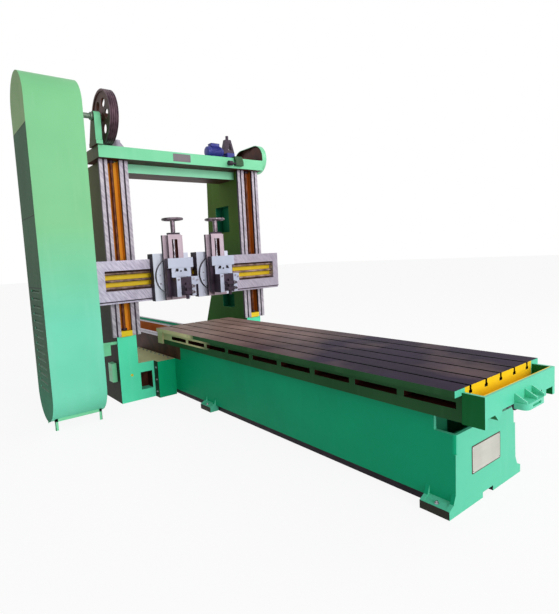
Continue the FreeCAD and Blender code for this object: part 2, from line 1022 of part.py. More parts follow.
def make_guard_sides():
    """The flat side covers let into the band: louvres in the outer one, the shaft's port inside."""
    inner = s.guard_radius - s.guard_wall
    outer_x = (-s.guard_left, s.guard_wall - s.guard_left)
    slots = new_body()
    slot = pad(slots, "YZ", outer_x, rectangle(
        (s.guard_y - s.louver_half, s.guard_y + s.louver_half),
        (s.louver_low, s.louver_low + s.louver_high)))
    repeat(slots, slot, "Z", s.louver_pitch, s.louver_count)
    inner_x = (-s.guard_right - s.guard_wall, -s.guard_right)
    port = rod("X", s.shaft_radius + s.shaft_port_gap, inner_x, (s.wheel_y, wheel_z))
    return fuse(cut(guard_slab(outer_x, inner), slots), cut(guard_slab(inner_x, inner), port))


def make_guard_stand():
    """Four legs joined by bars, shaped on top to the round foot of the guard."""
    pieces = []
    spread = s.leg_spread
    x_pair = (-s.guard_left + s.leg_inset, -s.guard_right - s.leg_inset - s.leg_side)
    y_pair = (s.guard_y - spread - s.leg_side, s.guard_y + spread)
    for x in x_pair:
        for y in y_pair:
            pieces.append(block((x, x + s.leg_side), (y, y + s.leg_side), (0, s.leg_top)))
        pieces.append(block((x, x + s.leg_side), (y_pair[0], y_pair[1] + s.leg_side),
                            (s.leg_bar_low, s.leg_bar_low + s.leg_side)))
    for y in y_pair:
        pieces.append(block((x_pair[0], x_pair[1] + s.leg_side), (y, y + s.leg_side),
                            (s.leg_bar_low, s.leg_bar_low + s.leg_side)))
    x = (-s.guard_left, -s.guard_right)
    return cut(fuse(*pieces), rod("X", s.guard_radius, x, (s.guard_y, s.guard_low)))


def make_guard_tie():
    rear = s.tie_bar_y + s.tie_bar_deep
    return fuse(
        block((-s.guard_right, -s.column_out), (s.tie_bar_y, rear),
              (s.tie_bar_low, s.tie_bar_high)),
        block((-s.column_out - s.tie_plate_wide, -s.column_out),
              (s.tie_bar_y, s.tie_bar_y + s.tie_plate_thick), (s.tie_plate_low, s.tie_bar_low)),
    )


def make_switch_box():
    return block((-s.column_out - s.switch_wide, -s.column_out),
                 (s.switch_y, s.switch_y + s.switch_deep), (s.switch_low, s.switch_high))


# Flywheel
def make_flywheel():
    """A hollow-faced rim, a thin web with a ring of round holes, and a hub."""
    body = new_body()
    sketch = sketch_on(body, "XZ", 0)
    rim_in = s.wheel_radius - s.rim_thick
    bore = s.shaft_radius
    dip = s.wheel_radius - s.belt_dip
    draw_outline(sketch, [
        (-s.wheel_half, s.wheel_radius),
        (-s.belt_half, s.wheel_radius),
        (-s.belt_half, dip),
        (s.belt_half, dip),
        (s.belt_half, s.wheel_radius),
        (s.wheel_half, s.wheel_radius),
        (s.wheel_half, rim_in),
        (s.web_half, rim_in),
        (s.web_half, s.hub_radius),
        (s.hub_half, s.hub_radius),
        (s.hub_half, bore),
        (-s.hub_half, bore),
        (-s.hub_half, s.hub_radius),
        (-s.web_half, s.hub_radius),
        (-s.web_half, rim_in),
        (-s.wheel_half, rim_in),
    ])
    turned = body.newObject("PartDesign::Revolution", "turned")
    turned.Profile = sketch
    turned.ReferenceAxis = (sketch, ["H_Axis"])
    turned.Angle = 360
    hole = drill(body, "YZ", (-s.web_half, s.web_half), 0, s.wheel_hole_place,
                 s.wheel_hole_radius)
    spin(body, hole, "X", s.wheel_hole_count)
    place(body, s.wheel_x, s.wheel_y, wheel_z)
    return body


def make_drive_shaft():
    left = -s.guard_right - s.shaft_into_guard
    right = s.wheel_x + s.hub_half + s.shaft_stub
    return rod("X", s.shaft_radius, (left, right), (s.wheel_y, wheel_z))


def make_wheel_pedestal():
    """A tapered pedestal with a round bearing head, bolted down on the end of the beam."""
    body = new_body()
    x = (-s.pedestal_left, -s.pedestal_right)
    low = beam_top + s.pedestal_plate
    front, rear = s.wheel_y - s.pedestal_head, s.wheel_y + s.pedestal_base_reach
    pad(body, "YZ", x, [
        (front, low),
        (rear, low),
        (s.wheel_y + s.pedestal_head, wheel_z),
        (front, wheel_z),
    ])
    plate = block(x, (front - s.pedestal_plate_lip, rear + s.pedestal_plate_lip),
                  (beam_top, low))
    head = rod("X", s.pedestal_head, x, (s.wheel_y, wheel_z))
    bore = rod("X", s.shaft_radius + s.shaft_fit, x, (s.wheel_y, wheel_z))
    return cut(fuse(body, plate, head), bore)


# Lift drive on the beam
def make_lift_motor():
    axis = beam_top + s.motor_foot + s.motor_radius
    x = (s.motor_left, s.motor_right)
    middle = (s.motor_left + s.motor_right) / 2
    return fuse(
        rod("X", s.motor_radius, x, (s.motor_y, axis)),
        block((s.motor_left + s.motor_foot, s.motor_right - s.motor_foot),
              (s.motor_y - s.motor_radius, s.motor_y + s.motor_radius),
              (beam_top, beam_top + 2 * s.motor_foot)),
        block((middle - s.motor_box / 2, middle + s.motor_box / 2),
              (s.motor_y - s.motor_box / 3, s.motor_y + s.motor_box / 3),
              (axis, axis + s.motor_radius + s.motor_box_high / 2)),
        rod("X", s.lift_shaft_radius, (s.motor_right, s.gear_left), (s.motor_y, lift_z)),
    )


def make_lift_gearbox():
    """The gear case beside the motor, under a tall open yoke that narrows to a cap."""
    case_top = beam_top + s.gear_high
    case = block((s.gear_left, s.gear_right), (s.motor_y - s.gear_half, s.motor_y + s.gear_half),
                 (beam_top, case_top))
    yoke = new_body()
    y = (s.motor_y - s.yoke_half, s.motor_y + s.yoke_half)
    middle = (s.yoke_left + s.yoke_right) / 2
    head = case_top + s.yoke_high
    pad(yoke, "XZ", y, [
        (s.yoke_left, case_top),
        (s.yoke_right, case_top),
        (s.yoke_right, case_top + s.yoke_foot),
        (middle + s.yoke_head_half, head),
        (middle - s.yoke_head_half, head),
        (s.yoke_left, case_top + s.yoke_foot),
    ])
    low, high = case_top + s.yoke_window_low, case_top + s.yoke_window_high
    slope = (s.yoke_right - middle - s.yoke_head_half) / (s.yoke_high - s.yoke_foot)
    right = s.yoke_right - s.yoke_leg
    pocket(yoke, "XZ", y, [
        (middle, low),
        (right - slope * (s.yoke_window_low - s.yoke_foot), low),
        (right - slope * (s.yoke_window_high - s.yoke_foot), high),
    ])
    cap = rod("Z", s.yoke_cap_radius, (head, head + s.yoke_cap_high), (middle, s.motor_y))
    return fuse(case, yoke, cap)


def make_lift_control():
    """The control bracket hooked over the front of the beam, with its rod and round knob."""
    bracket = new_body()
    front = s.beam_front - s.control_deep
    pad(bracket, "YZ", (s.control_left, s.control_right), [
        (s.beam_front, control_low),
        (front, control_low),
        (front, control_low + s.control_deep),
        (s.beam_front - s.control_hook, beam_top + s.control_hook),
        (s.beam_front + s.control_deep, beam_top + s.control_hook),
        (s.beam_front + s.control_deep, beam_top),
        (s.beam_front, beam_top),
    ])
    centre = (s.control_y, control_z)
    return fuse(
        bracket,
        rod("X", s.control_rod, (s.control_knob_left, s.control_left + s.control_hook), centre),
        rod("X", s.control_knob, (s.control_knob_left, s.control_knob_right), centre),
    )


def lift_guard_slab(x, radius):
    return lying_stadium(x, s.motor_y, s.motor_y + s.lift_guard_reach, lift_z, radius)


def make_lift_guard():
    """A round-ended belt cover beside the end of the beam, open towards the machine."""
    right = s.lift_guard_x + s.lift_guard_wide
    inner = s.lift_guard_radius - s.guard_wall
    shell = cut(lift_guard_slab((s.lift_guard_x, right), s.lift_guard_radius),
                lift_guard_slab((s.lift_guard_x, right - s.guard_wall), inner))
    return cut(shell, rod("X", s.lift_shaft_radius + s.shaft_fit,
                          (right - s.guard_wall, right), (s.motor_y, lift_z)))


def make_lift_shaft():
    """The cross shaft from the gear case with the large belt pulley in the cover."""
    right = s.lift_guard_x + s.lift_guard_wide
    middle = s.lift_guard_x + s.lift_guard_wide / 2
    return fuse(
        rod("X", s.lift_shaft_radius, (s.gear_right, right + s.lift_stub),
            (s.motor_y, lift_z)),
        rod("X", s.lift_pulley_radius,
            (middle - s.lift_pulley_wide / 2, middle + s.lift_pulley_wide / 2),
            (s.motor_y, lift_z)),
    )


# Cross rail
def rod_levels():
    return (s.rod_low, s.rod_mid, s.rod_high)


def make_cross_rail():
    """The rail with its long front window, end bores, lower lip, screw nuts and clamps."""
    body = new_body()
    half = s.rail_half
    rear = -s.slide_fit
    pad(body, "XZ", (s.rail_front, rear), rectangle((-half, half), (s.rail_low, s.rail_high)))
    pocket(body, "XZ", (s.rail_front, s.rail_front + s.rail_window_depth), rectangle(
        (-rail_window_half, rail_window_half), (s.rail_window_low, s.rail_window_high)))
    for level in rod_levels():
        drill(body, "YZ", (-half, half), s.rod_y, level, s.rod_radius + s.slide_fit)
    pieces = [body, block((-half, half), (s.rail_lip_front, s.rail_lip_rear),
                          (s.rail_lip_low, s.rail_low))]
    level = (s.rail_low + s.rail_high) / 2
    for side in (-1, 1):
        nut_rear = s.recess_depth - s.rail_nut_gap
        middle = (s.recess_in + s.recess_out) / 2
        x = across(side, middle - s.rail_nut_wide / 2, middle + s.rail_nut_wide / 2)
        nut = block(x, (rear, nut_rear), (level - s.rail_nut_half, level + s.rail_nut_half))
        bore = rod("Z", s.screw_radius + s.slide_fit,
                   (level - s.rail_nut_half, level + s.rail_nut_half),
                   (side * s.screw_x, s.screw_y))
        pieces.append(cut(nut, bore))
        edge = s.slideway_in - s.slide_fit
        behind = s.column_front + s.slide_fit
        span = (s.rail_low, s.rail_high)
        pieces.append(block(across(side, edge - s.clamp_wide, edge),
                            (rear, behind + s.clamp_thick), span))
        pieces.append(block(across(side, edge - s.clamp_wide, edge + s.clamp_lip),
                            (behind, behind + s.clamp_thick), span))
    return fuse(*pieces)


def make_rail_rods():
    """The two feed screws and the splined rod that run in the window."""
    left = -s.rail_half - s.rod_plate - s.rod_reach
    return fuse(*[
        rod("X", s.rod_radius, (left, s.rail_half), (s.rod_y, level)) for level in rod_levels()
    ])


def make_rod_plate():
    """The bearing plate on the left end of the rail."""
    x = (-s.rail_half - s.rod_plate, -s.rail_half)
    wide = s.rod_plate
    plate = block(x, (s.rod_y - wide, s.rod_y + wide), (s.rod_plate_low, s.rod_plate_high))
    bores = [rod("X", s.rod_radius + s.slide_fit, x, (s.rod_y, level)) for level in rod_levels()]
    return cut(plate, *bores)


# Heads
def make_saddle(head):
    """The saddle plate, hooked over the top and under the bottom of the rail."""
    body = new_body()
    x = (head - s.saddle_half, head + s.saddle_half)
    rear = s.rail_front - s.slide_fit
    hook = s.rail_front + s.saddle_hook
    pad(body, "YZ", x, [
        (s.saddle_front, s.saddle_low - s.slide_fit),
        (rear, s.saddle_low - s.slide_fit),
        (rear, s.rail_high + s.slide_fit),
        (hook, s.rail_high + s.slide_fit),
        (hook, s.saddle_high),
        (s.saddle_front, s.saddle_high),
    ])
    return body


def guide_line(head, gap):
    """The front of the dovetail guide from right to left, moved outwards by a gap."""
    lean = (s.prism_half - s.prism_root_half) / s.prism_deep
    front, rear = prism_front - gap, plate_front - s.slide_rear_gap
    wide = s.prism_half + gap + lean * gap
    neck = wide - lean * (rear - front)
    return [(head + neck, rear), (head + wide, front), (head - wide, front), (head - neck, rear)]


def make_swivel(head):
    """The swivel disc, the plate and dovetail guide on it, and the cap of the feed screw."""
    half = s.guide_plate_half
    plate = block((head - half, head + half), (plate_front, disc_front),
                  (s.guide_low, s.guide_high))
    guide = new_body()
    pad(guide, "XY", (s.prism_low, s.prism_high), [
        (head + s.prism_root_half, plate_front),
        (head + s.prism_half, prism_front),
        (head - s.prism_half, prism_front),
        (head - s.prism_root_half, plate_front),
    ])
    pocket(guide, "XZ", (prism_front, prism_front + s.prism_recess_deep), rectangle(
        (head - s.prism_recess_half, head + s.prism_recess_half), (recess_low, recess_high)))
    cap_top = s.prism_high + s.cap_thick
    cap = block((head - s.cap_half, head + s.cap_half), (prism_front, plate_front),
                (s.prism_high, cap_top))
    disc = rod("Y", s.disc_radius, (disc_front, disc_front + s.disc_thick), (head, s.head_z))
    bore = rod("Z", s.feed_radius + s.shaft_fit, (recess_high, cap_top), (head, feed_y))
    return cut(fuse(plate, guide, cap, disc), bore)


def make_feed_screw(head):
    return rod("Z", s.feed_radius, (recess_low + s.slide_fit,
                                    s.prism_high + s.cap_thick + s.hand_hub_gap), (head, feed_y))


def make_handwheel(head):
    """A slim rim of six-sided section on three spokes, over a long hub sleeve."""
    level = s.feed_top - s.hand_level
    wheel = new_body()
    sketch = sketch_on(wheel, "XZ", 0)
    middle, slant = s.hand_radius - s.hand_rim, s.hand_rim / 2
    draw_outline(sketch, [
        (s.hand_radius, 0),
        (middle + slant, s.hand_rim),
        (middle - slant, s.hand_rim),
        (middle - s.hand_rim, 0),
        (middle - slant, -s.hand_rim),
        (middle + slant, -s.hand_rim),
    ])
    rim = wheel.newObject("PartDesign::Revolution", "rim")
    rim.Profile = sketch
    rim.ReferenceAxis = (sketch, ["V_Axis"])
    rim.Angle = 360
    place(wheel, head, feed_y, level)
    low = s.prism_high + s.cap_thick + s.hand_hub_gap
    pieces = [wheel, rod("Z", s.hand_hub, (low, s.feed_top), (head, feed_y))]
    for index in range(int(number(s.hand_spoke_count))):
        spoke = doc.addObject("Part::Cylinder", "spoke")
        turn = Rotation(Vector(0, 0, 1), 90 + index * 360 / number(s.hand_spoke_count))
        spoke.Placement = Placement(Vector(), turn * TURNS["X"])
        bind(spoke, "Radius", s.hand_spoke)
        bind(spoke, "Height", middle)
        place(spoke, head, feed_y, level)
        pieces.append(spoke)
    return fuse(*pieces)


def make_tool_slide(head):
    """The slide that wraps the dovetail guide, with a thick block across its top."""
    body = new_body()
    wrap = plate_front - s.slide_wrap_deep
    pad(body, "XY", (s.slide_low, s.slide_high), [
        (head - s.slide_wrap_half, slide_rear),
        (head - s.slide_wrap_half, wrap),
        (head - s.slide_half, wrap),
        (head - s.slide_half, slide_front),
        (head + s.slide_half, slide_front),
        (head + s.slide_half, wrap),
        (head + s.slide_wrap_half, wrap),
        (head + s.slide_wrap_half, slide_rear),
    ] + guide_line(head, s.slide_fit))
    top = block((head - s.slide_half, head + s.slide_half),
                (slide_front - s.slide_block_thick, slide_front),
                (s.slide_block_low, s.slide_high))
    return fuse(body, top)


def arc_slot(head, side, y):
    """Cuts one of the two short curved slots, beside the middle of the apron."""
    ring = cut(rod("Y", s.arc_radius + s.arc_half, y, (head, s.arc_centre)),
               rod("Y", s.arc_radius - s.arc_half, y, (head, s.arc_centre)))
    low, high = (head + side * s.arc_inner, head + side * s.arc_outer)[::side]
    slot = doc.addObject("Part::Common", "slot")
    slot.Base = ring
    slot.Tool = block((low, high), y, (s.arc_centre, apron_high))
    return slot


def make_clapper_box(head):
    """The apron with its curved slots, two cheeks for the clapper and an ear on the right."""
    apron = block((head - s.apron_half, head + s.apron_half), (apron_front, slide_front),
                  (s.apron_low, apron_high))
    cheek_front = slide_front - s.cheek_reach
    reach = s.cheek_gap + s.cheek_wide
    back = block((head - reach, head + reach), (slide_front - s.cheek_back, slide_front),
                 (s.cheek_low, s.apron_low))
    cheeks = [
        block(x, (cheek_front, slide_front), (s.cheek_low, s.apron_low))
        for x in ((head - reach, head - s.cheek_gap), (head + s.cheek_gap, head + reach))
    ]
    ear = block((head + reach, head + reach + s.ear_wide), (cheek_front, cheek_front + s.ear_deep),
                (s.ear_low, s.apron_low))
    span = (apron_front, apron_front + s.arc_depth)
    pin = rod("X", s.pin_radius + s.shaft_fit, (head - reach, head + reach), (pin_y, pin_z))
    return cut(fuse(apron, back, *cheeks, ear), arc_slot(head, -1, span),
               arc_slot(head, 1, span), pin)


def make_clapper(head):
    """The hinged tool block with its pin, two clamp bars with studs, and a tool."""
    body = new_body()
    half = s.cheek_gap - s.slide_fit
    top = pin_z + s.pin_low
    plate = pad(body, "YZ", (head - half, head + half), rectangle(
        (clapper_front, clapper_rear), (s.clapper_low, top)))
    round_edges(body, plate, s.pin_back, lambda edge: edge_along(edge, "X")
                and edge.CenterOfMass.z > number(top) - 1
                and edge.CenterOfMass.y > number(clapper_rear) - 1)
    reach = s.cheek_gap + s.cheek_wide
    tool = block((head - s.tool_half, head + s.tool_half),
                 (clapper_front - s.tool_deep, clapper_front), (s.tool_low, s.tool_high))
    pieces = [body, rod("X", s.pin_radius, (head - reach, head + reach), (pin_y, pin_z)), tool]
    bar_front = clapper_front - s.clamp_bar_deep
    left, right = head - s.clamp_bar_half, head + s.clamp_bar_reach
    for index in range(2):
        low = s.clamp_bar_low + index * s.clamp_bar_pitch
        high = low + s.clamp_bar_high
        pieces.append(block((left, right), (bar_front, clapper_front), (low, high)))
        for x in (left + s.clamp_stud_inset, right - s.clamp_stud_inset):
            pieces.append(rod("Y", s.clamp_stud, (bar_front - s.clamp_stud_reach, bar_front),
                              (x, (low + high) / 2)))
    return fuse(*pieces)


def build_all():
    """Every sub-part by its node name."""
    made = {
        "bed": make_bed(),
        "bed_ways": make_bed_ways(),
        "bed_shoulders": make_bed_shoulders(),
        "bed_end_trays": make_bed_end_trays(),
        "table": make_table(),
        "table_troughs": make_troughs(),
        "table_rack": make_rack(),
        "rack_bracket": make_rack_bracket(),
        "slideways": make_slideways(),
        "lift_screws": make_lift_screws(),
        "screw_blocks": make_screw_blocks(),
        "top_beam": make_beam(),
        "arch_tie": make_arch_tie(),
        "guard_band": make_guard_band(),
        "guard_sides": make_guard_sides(),
        "guard_stand": make_guard_stand(),
        "guard_tie": make_guard_tie(),
        "switch_box": make_switch_box(),
        "flywheel": make_flywheel(),
        "drive_shaft": make_drive_shaft(),
        "wheel_pedestal": make_wheel_pedestal(),
        "lift_motor": make_lift_motor(),
        "lift_gearbox": make_lift_gearbox(),
        "lift_control": make_lift_control(),
        "lift_guard": make_lift_guard(),
        "lift_shaft": make_lift_shaft(),
        "cross_rail": make_cross_rail(),
        "rail_rods": make_rail_rods(),
        "rail_rod_plate": make_rod_plate(),
    }
    for name, side in (("left", -1), ("right", 1)):
        made[f"{name}_column"] = make_column(side)
    for name, head in (("left", s.left_head), ("right", s.right_head)):
        made[f"{name}_saddle"] = make_saddle(head)
        made[f"{name}_swivel"] = make_swivel(head)
        made[f"{name}_feed_screw"] = make_feed_screw(head)
        made[f"{name}_handwheel"] = make_handwheel(head)
        made[f"{name}_tool_slide"] = make_tool_slide(head)
        made[f"{name}_clapper_box"] = make_clapper_box(head)
        made[f"{name}_clapper"] = make_clapper(head)
    return made


def check(made):
    for thing in doc.Objects:
        if "Invalid" in thing.State or "Error" in thing.State:
            raise RuntimeError(f"{thing.Name} {thing.Label} failed: {thing.State}")
    for name, thing in made.items():
        if thing.Shape.isNull() or not thing.Shape.isValid() or not thing.Shape.Solids:
            raise RuntimeError(f"{name} has no valid solid")


def main():
    made = build_all()
    for name, thing in made.items():
        thing.Label = name
    doc.recompute()
    check(made)
    os.makedirs("parts", exist_ok=True)
    for name, thing in made.items():
        thing.Shape.exportStep(f"parts/{name}.step")
        print(name, len(thing.Shape.Solids), round(thing.Shape.Volume / 1e9, 4))


main()
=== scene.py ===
"""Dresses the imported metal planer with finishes, small parts, floor, lamps and camera."""
import logging
import math
from collections.abc import Callable, Iterable, Iterator
from contextlib import contextmanager
from dataclasses import dataclass
from enum import Enum
from typing import NamedTuple

import bmesh
import bpy
from bpy.types import Material, Node, NodeSocket, NodeTree, Object
from mathutils import Matrix, Vector


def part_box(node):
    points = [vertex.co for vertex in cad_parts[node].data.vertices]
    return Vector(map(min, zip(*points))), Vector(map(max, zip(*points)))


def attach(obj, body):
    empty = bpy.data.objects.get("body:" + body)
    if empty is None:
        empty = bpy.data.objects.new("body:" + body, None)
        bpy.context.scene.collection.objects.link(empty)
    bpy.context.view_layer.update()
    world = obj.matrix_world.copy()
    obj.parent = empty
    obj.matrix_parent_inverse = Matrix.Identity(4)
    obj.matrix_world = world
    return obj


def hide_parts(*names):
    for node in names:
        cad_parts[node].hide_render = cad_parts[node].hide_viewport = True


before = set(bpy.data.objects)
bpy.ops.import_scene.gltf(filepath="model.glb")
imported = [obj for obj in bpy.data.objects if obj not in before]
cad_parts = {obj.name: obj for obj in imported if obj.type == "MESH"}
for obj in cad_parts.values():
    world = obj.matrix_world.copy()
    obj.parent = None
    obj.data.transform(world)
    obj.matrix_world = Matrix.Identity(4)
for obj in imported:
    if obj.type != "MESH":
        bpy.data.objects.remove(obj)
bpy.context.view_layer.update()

log = logging.getLogger("planer")

MM = 0.001
SMOOTH_BELOW = math.radians(32)
SHARP_FROM = math.radians(40)
SQUARE = 0.9
Span = tuple[float, float]
Colour = tuple[float, float, float, float]
Wanted = Callable[[Vector, Vector], bool]


class Axis(Enum):
    """The frame's axes, by their place in a vector."""

    X = 0
    Y = 1
    Z = 2

    def unit(self) -> Vector:
        """The unit vector along this axis."""
        return Vector([float(index == self.value) for index in range(3)])


class Side(Enum):
    """The two sides of the machine, as nodes and bodies spell them."""

    LEFT = "left"
    RIGHT = "right"


class Face(Enum):
    """The ways that a surface may face: an axis with its sign, or 0 for both ways."""

    LEFT = (Axis.X, -1)
    SIDES = (Axis.X, 0)
    FRONT = (Axis.Y, -1)
    TOP = (Axis.Z, 1)
    UNDER = (Axis.Z, -1)


class Box(NamedTuple):
    """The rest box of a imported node, in millimetres."""

    low: Vector
    high: Vector

    @classmethod
    def of(cls, node: str) -> "Box":
        """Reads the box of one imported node."""
        return cls(*(Vector(corner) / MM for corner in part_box(node)))

    @property
    def middle(self) -> Vector:
        """The middle of the box."""
        return (self.low + self.high) / 2

    @property
    def size(self) -> Vector:
        """The lengths of the box."""
        return self.high - self.low


def hue(code: str) -> Colour:
    """Turns six hexadecimal digits of a screen colour into a linear colour with alpha 1."""
    parts = [int(code[place:place + 2], 16) / 255 for place in (0, 2, 4)]
    linear = [part / 12.92 if part <= 0.04045 else ((part + 0.055) / 1.055) ** 2.4
              for part in parts]
    return (*linear, 1.0)


# Node trees and the recipes that fill them


class Graph:
    """An emptied node tree, and the steps that fill it."""

    def __init__(self, tree: NodeTree) -> None:
        """Empties the tree."""
        self.nodes, self.links = tree.nodes, tree.links
        self.nodes.clear()

    def feed(self, socket: NodeSocket, value: object) -> None:
        """Links a socket, or sets the value of an unlinked one."""
        if isinstance(value, NodeSocket):
            self.links.new(value, socket)
        else:
            socket.default_value = value

    def node(self, kind: str, **inputs: object) -> Node:
        """Adds a node and feeds its inputs.

        Args:
            kind: The node's type name.
            inputs: Sockets to link or values to set, by input name.

        Returns:
            The new node.
        """
        made = self.nodes.new(kind)
        for name, value in inputs.items():
            self.feed(made.inputs[name.replace("_", " ")], value)
        return made

    def math(self, operation: str, first: object, second: object = 0.0) -> NodeSocket:
        """Joins two numbers with a Math node."""
        made = self.nodes.new("ShaderNodeMath")
        made.operation = operation
        self.feed(made.inputs[0], first)
        self.feed(made.inputs[1], second)
        return made.outputs[0]

    def product(self, first: NodeSocket, *others: NodeSocket) -> NodeSocket:
        """Multiplies several masks."""
        for other in others:
            first = self.math("MULTIPLY", first, other)
        return first

    def span(self, value: NodeSocket, start: float, end: float, low: float = 0.0,
             high: float = 1.0, held: bool = True) -> NodeSocket:
        """Maps a number from start..end to low..high, held at the ends or let past them."""
        made = self.node("ShaderNodeMapRange", Value=value, From_Min=start, From_Max=end,
                         To_Min=low, To_Max=high)
        made.clamp = held
        return made.outputs["Result"]

    def seen(self) -> NodeSocket:
        """1 for what the camera sees, straight or in a reflection."""
        rays = self.node("ShaderNodeLightPath").outputs
        return self.math("MAXIMUM", rays["Is Camera Ray"], rays["Is Glossy Ray"])

    def end(self, kind: str, shader: NodeSocket) -> None:
        """Links a shader to a new output node."""
        self.links.new(shader, self.nodes.new(kind).inputs["Surface"])


@dataclass
class Surface:
    """What a shader takes: each entry is a socket, and metal may be a plain number."""

    colour: NodeSocket
    rough: NodeSocket
    metal: NodeSocket | float
    height: NodeSocket


@dataclass(frozen=True)
class Layer:
    """A finish over one zone of a piece. A limit that is left out doesn't hold.

    Attributes:
        place: What the zone is, for the label of its mask.
        look: The finish that lies there.
        x: The span along X in millimetres.
        y: The span along Y in millimetres.
        z: The span along Z in millimetres.
        near: The most that it lies from the middle plane.
        past: The least that it lies from the middle plane.
        face: The way that it faces.
        least: How squarely it faces that way, up to 1.
        off: A way that it doesn't face.
    """

    place: str
    look: "Look"
    x: Span | None = None
    y: Span | None = None
    z: Span | None = None
    near: float | None = None
    past: float | None = None
    face: Face | None = None
    least: float = 0.7
    off: Face | None = None


class Recipe(Graph):
    """Builds one material on Object coordinates: a base finish with layers over it."""

    def __init__(self, name: str, base: "Look") -> None:
        """Starts the material with its base finish."""
        self.material: Material = bpy.data.materials.new(name)
        self.material.use_nodes = True
        super().__init__(self.material.node_tree)
        coords = self.node("ShaderNodeTexCoord").outputs
        self.point = coords["Object"]
        self.place = self.node("ShaderNodeSeparateXYZ", Vector=self.point).outputs
        self.normal = self.node("ShaderNodeSeparateXYZ", Vector=coords["Normal"]).outputs
        self.surface: Surface = base.spread(self)

    def grain(self, laid: Node, scale: float, detail: float) -> NodeSocket:
        """Noise from 0 to 1 on mapped coordinates, finer with a larger scale."""
        return self.node("ShaderNodeTexNoise", Vector=laid.outputs["Vector"], Scale=scale,
                         Detail=detail).outputs["Fac"]

    def noise(self, scale: float, detail: float,
              stretch: Iterable[float] = (1.0, 1.0, 1.0)) -> NodeSocket:
        """Noise on coordinates scaled by a factor along each axis."""
        laid = self.node("ShaderNodeMapping", Vector=self.point, Scale=stretch)
        return self.grain(laid, scale, detail)

    def strokes(self, scale: float, turn: float, length: float) -> NodeSocket:
        """Noise drawn out into strokes, turned about Y by degrees."""
        laid = self.node("ShaderNodeMapping", Vector=self.point, Scale=(length, 1.0, 1.0),
                         Rotation=(0.0, math.radians(turn), 0.0))
        laid.vector_type = "TEXTURE"
        return self.grain(laid, scale, 2.0)

    def blotches(self, scale: float, detail: float) -> NodeSocket:
        """Soft blotches from 0 to 1."""
        return self.span(self.noise(scale, detail), 0.3, 0.7)

    def mix(self, factor: object, first: object, second: object,
            kind: str = "FLOAT") -> NodeSocket:
        """Mixes two numbers or colours, the second where the factor is 1."""
        made = self.nodes.new("ShaderNodeMix")
        made.data_type = kind
        start, result = {"FLOAT": (2, 0), "RGBA": (6, 2)}[kind]
        for index, value in ((0, factor), (start, first), (start + 1, second)):
            self.feed(made.inputs[index], value)
        return made.outputs[result]

    def blend(self, factor: object, first: object, second: object) -> NodeSocket:
        """Mixes two colours."""
        return self.mix(factor, first, second, "RGBA")

    def within(self, axis: Axis, low: float, high: float) -> NodeSocket:
        """1 where a coordinate lies between two places in millimetres."""
        value = self.place[axis.value]
        return self.product(self.math("GREATER_THAN", value, low * MM),
                            self.math("LESS_THAN", value, high * MM))

    def beyond(self, place: float) -> NodeSocket:
        """1 where the distance from the middle plane is more than a place."""
        return self.math("GREATER_THAN", self.math("ABSOLUTE", self.place[0]), place * MM)

    def no(self, mask: NodeSocket) -> NodeSocket:
        """1 where a mask is 0."""
        return self.math("SUBTRACT", 1.0, mask)

    def facing(self, face: Face, least: float = 0.7) -> NodeSocket:
        """1 where the surface faces a way."""
        axis, sign = face.value
        value = self.normal[axis.value]
        value = self.math("MULTIPLY", value, float(sign)) if sign else self.math("ABSOLUTE", value)
        return self.math("GREATER_THAN", value, least)

    def cover(self, place: str, look: "Look", mask: NodeSocket) -> None:
        """Lays a finish over the surface where a mask is 1."""
        mask.node.label = place
        base, top = self.surface, look.spread(self)
        metal = base.metal
        if isinstance(metal, NodeSocket) or metal != top.metal:
            metal = self.mix(mask, metal, top.metal)
        self.surface = Surface(self.blend(mask, base.colour, top.colour),
                               self.mix(mask, base.rough, top.rough), metal,
                               self.mix(mask, base.height, top.height))

    def lay(self, layer: Layer) -> None:
        """Lays a finish over the surface in the layer's zone."""
        masks = [self.within(axis, *span)
                 for axis, span in zip(Axis, (layer.x, layer.y, layer.z)) if span]
        if layer.near:
            masks.append(self.no(self.beyond(layer.near)))
        if layer.past:
            masks.append(self.beyond(layer.past))
        if layer.face:
            masks.append(self.facing(layer.face, layer.least))
        if layer.off:
            masks.append(self.no(self.facing(layer.off)))
        self.cover(layer.place, layer.look, self.product(*masks))

    def close(self, depth: float = 0.4, coat: float = 0.0, specular: float = 0.3) -> Material:
        """Feeds the surface to the shader and gives back the material.

        Args:
            depth: The depth of the bump in millimetres.
            coat: The weight of the clear coat.
            specular: The strength of the plain reflection.

        Returns:
            The finished material.
        """
        bump = self.node("ShaderNodeBump", Height=self.surface.height, Distance=depth * MM,
                         Strength=1.0)
        shader = self.node("ShaderNodeBsdfPrincipled", Base_Color=self.surface.colour,
                           Roughness=self.surface.rough, Metallic=self.surface.metal,
                           Specular_IOR_Level=specular, Coat_Weight=coat, Coat_Roughness=0.12,
                           Normal=bump.outputs["Normal"])
        self.end("ShaderNodeOutputMaterial", shader.outputs[0])
        return self.material


# Kinds of finish


@dataclass(frozen=True)
class Enamel:
    """Gloss machine enamel over filled iron: soft waves, dust and a fine peel."""

    light: str
    deep: str
    dust: str
    rough: float = 0.34

    def spread(self, recipe: Recipe) -> Surface:
        """Paints this finish with a recipe's nodes."""
        waves = recipe.blend(recipe.blotches(1.1, 4), hue(self.deep), hue(self.light))
        streaks = recipe.span(recipe.noise(9.0, 5, (1, 1, 0.12)), 0.55, 0.8, 0.0, 0.25)
        rough = recipe.mix(recipe.noise(30.0, 3), self.rough - 0.08, self.rough + 0.1)
        peel = recipe.math("MULTIPLY", recipe.noise(420.0, 2), 0.18)
        return Surface(recipe.blend(streaks, waves, hue(self.dust)), rough, 0.0,
                       recipe.math("ADD", peel, recipe.noise(6.0, 2)))


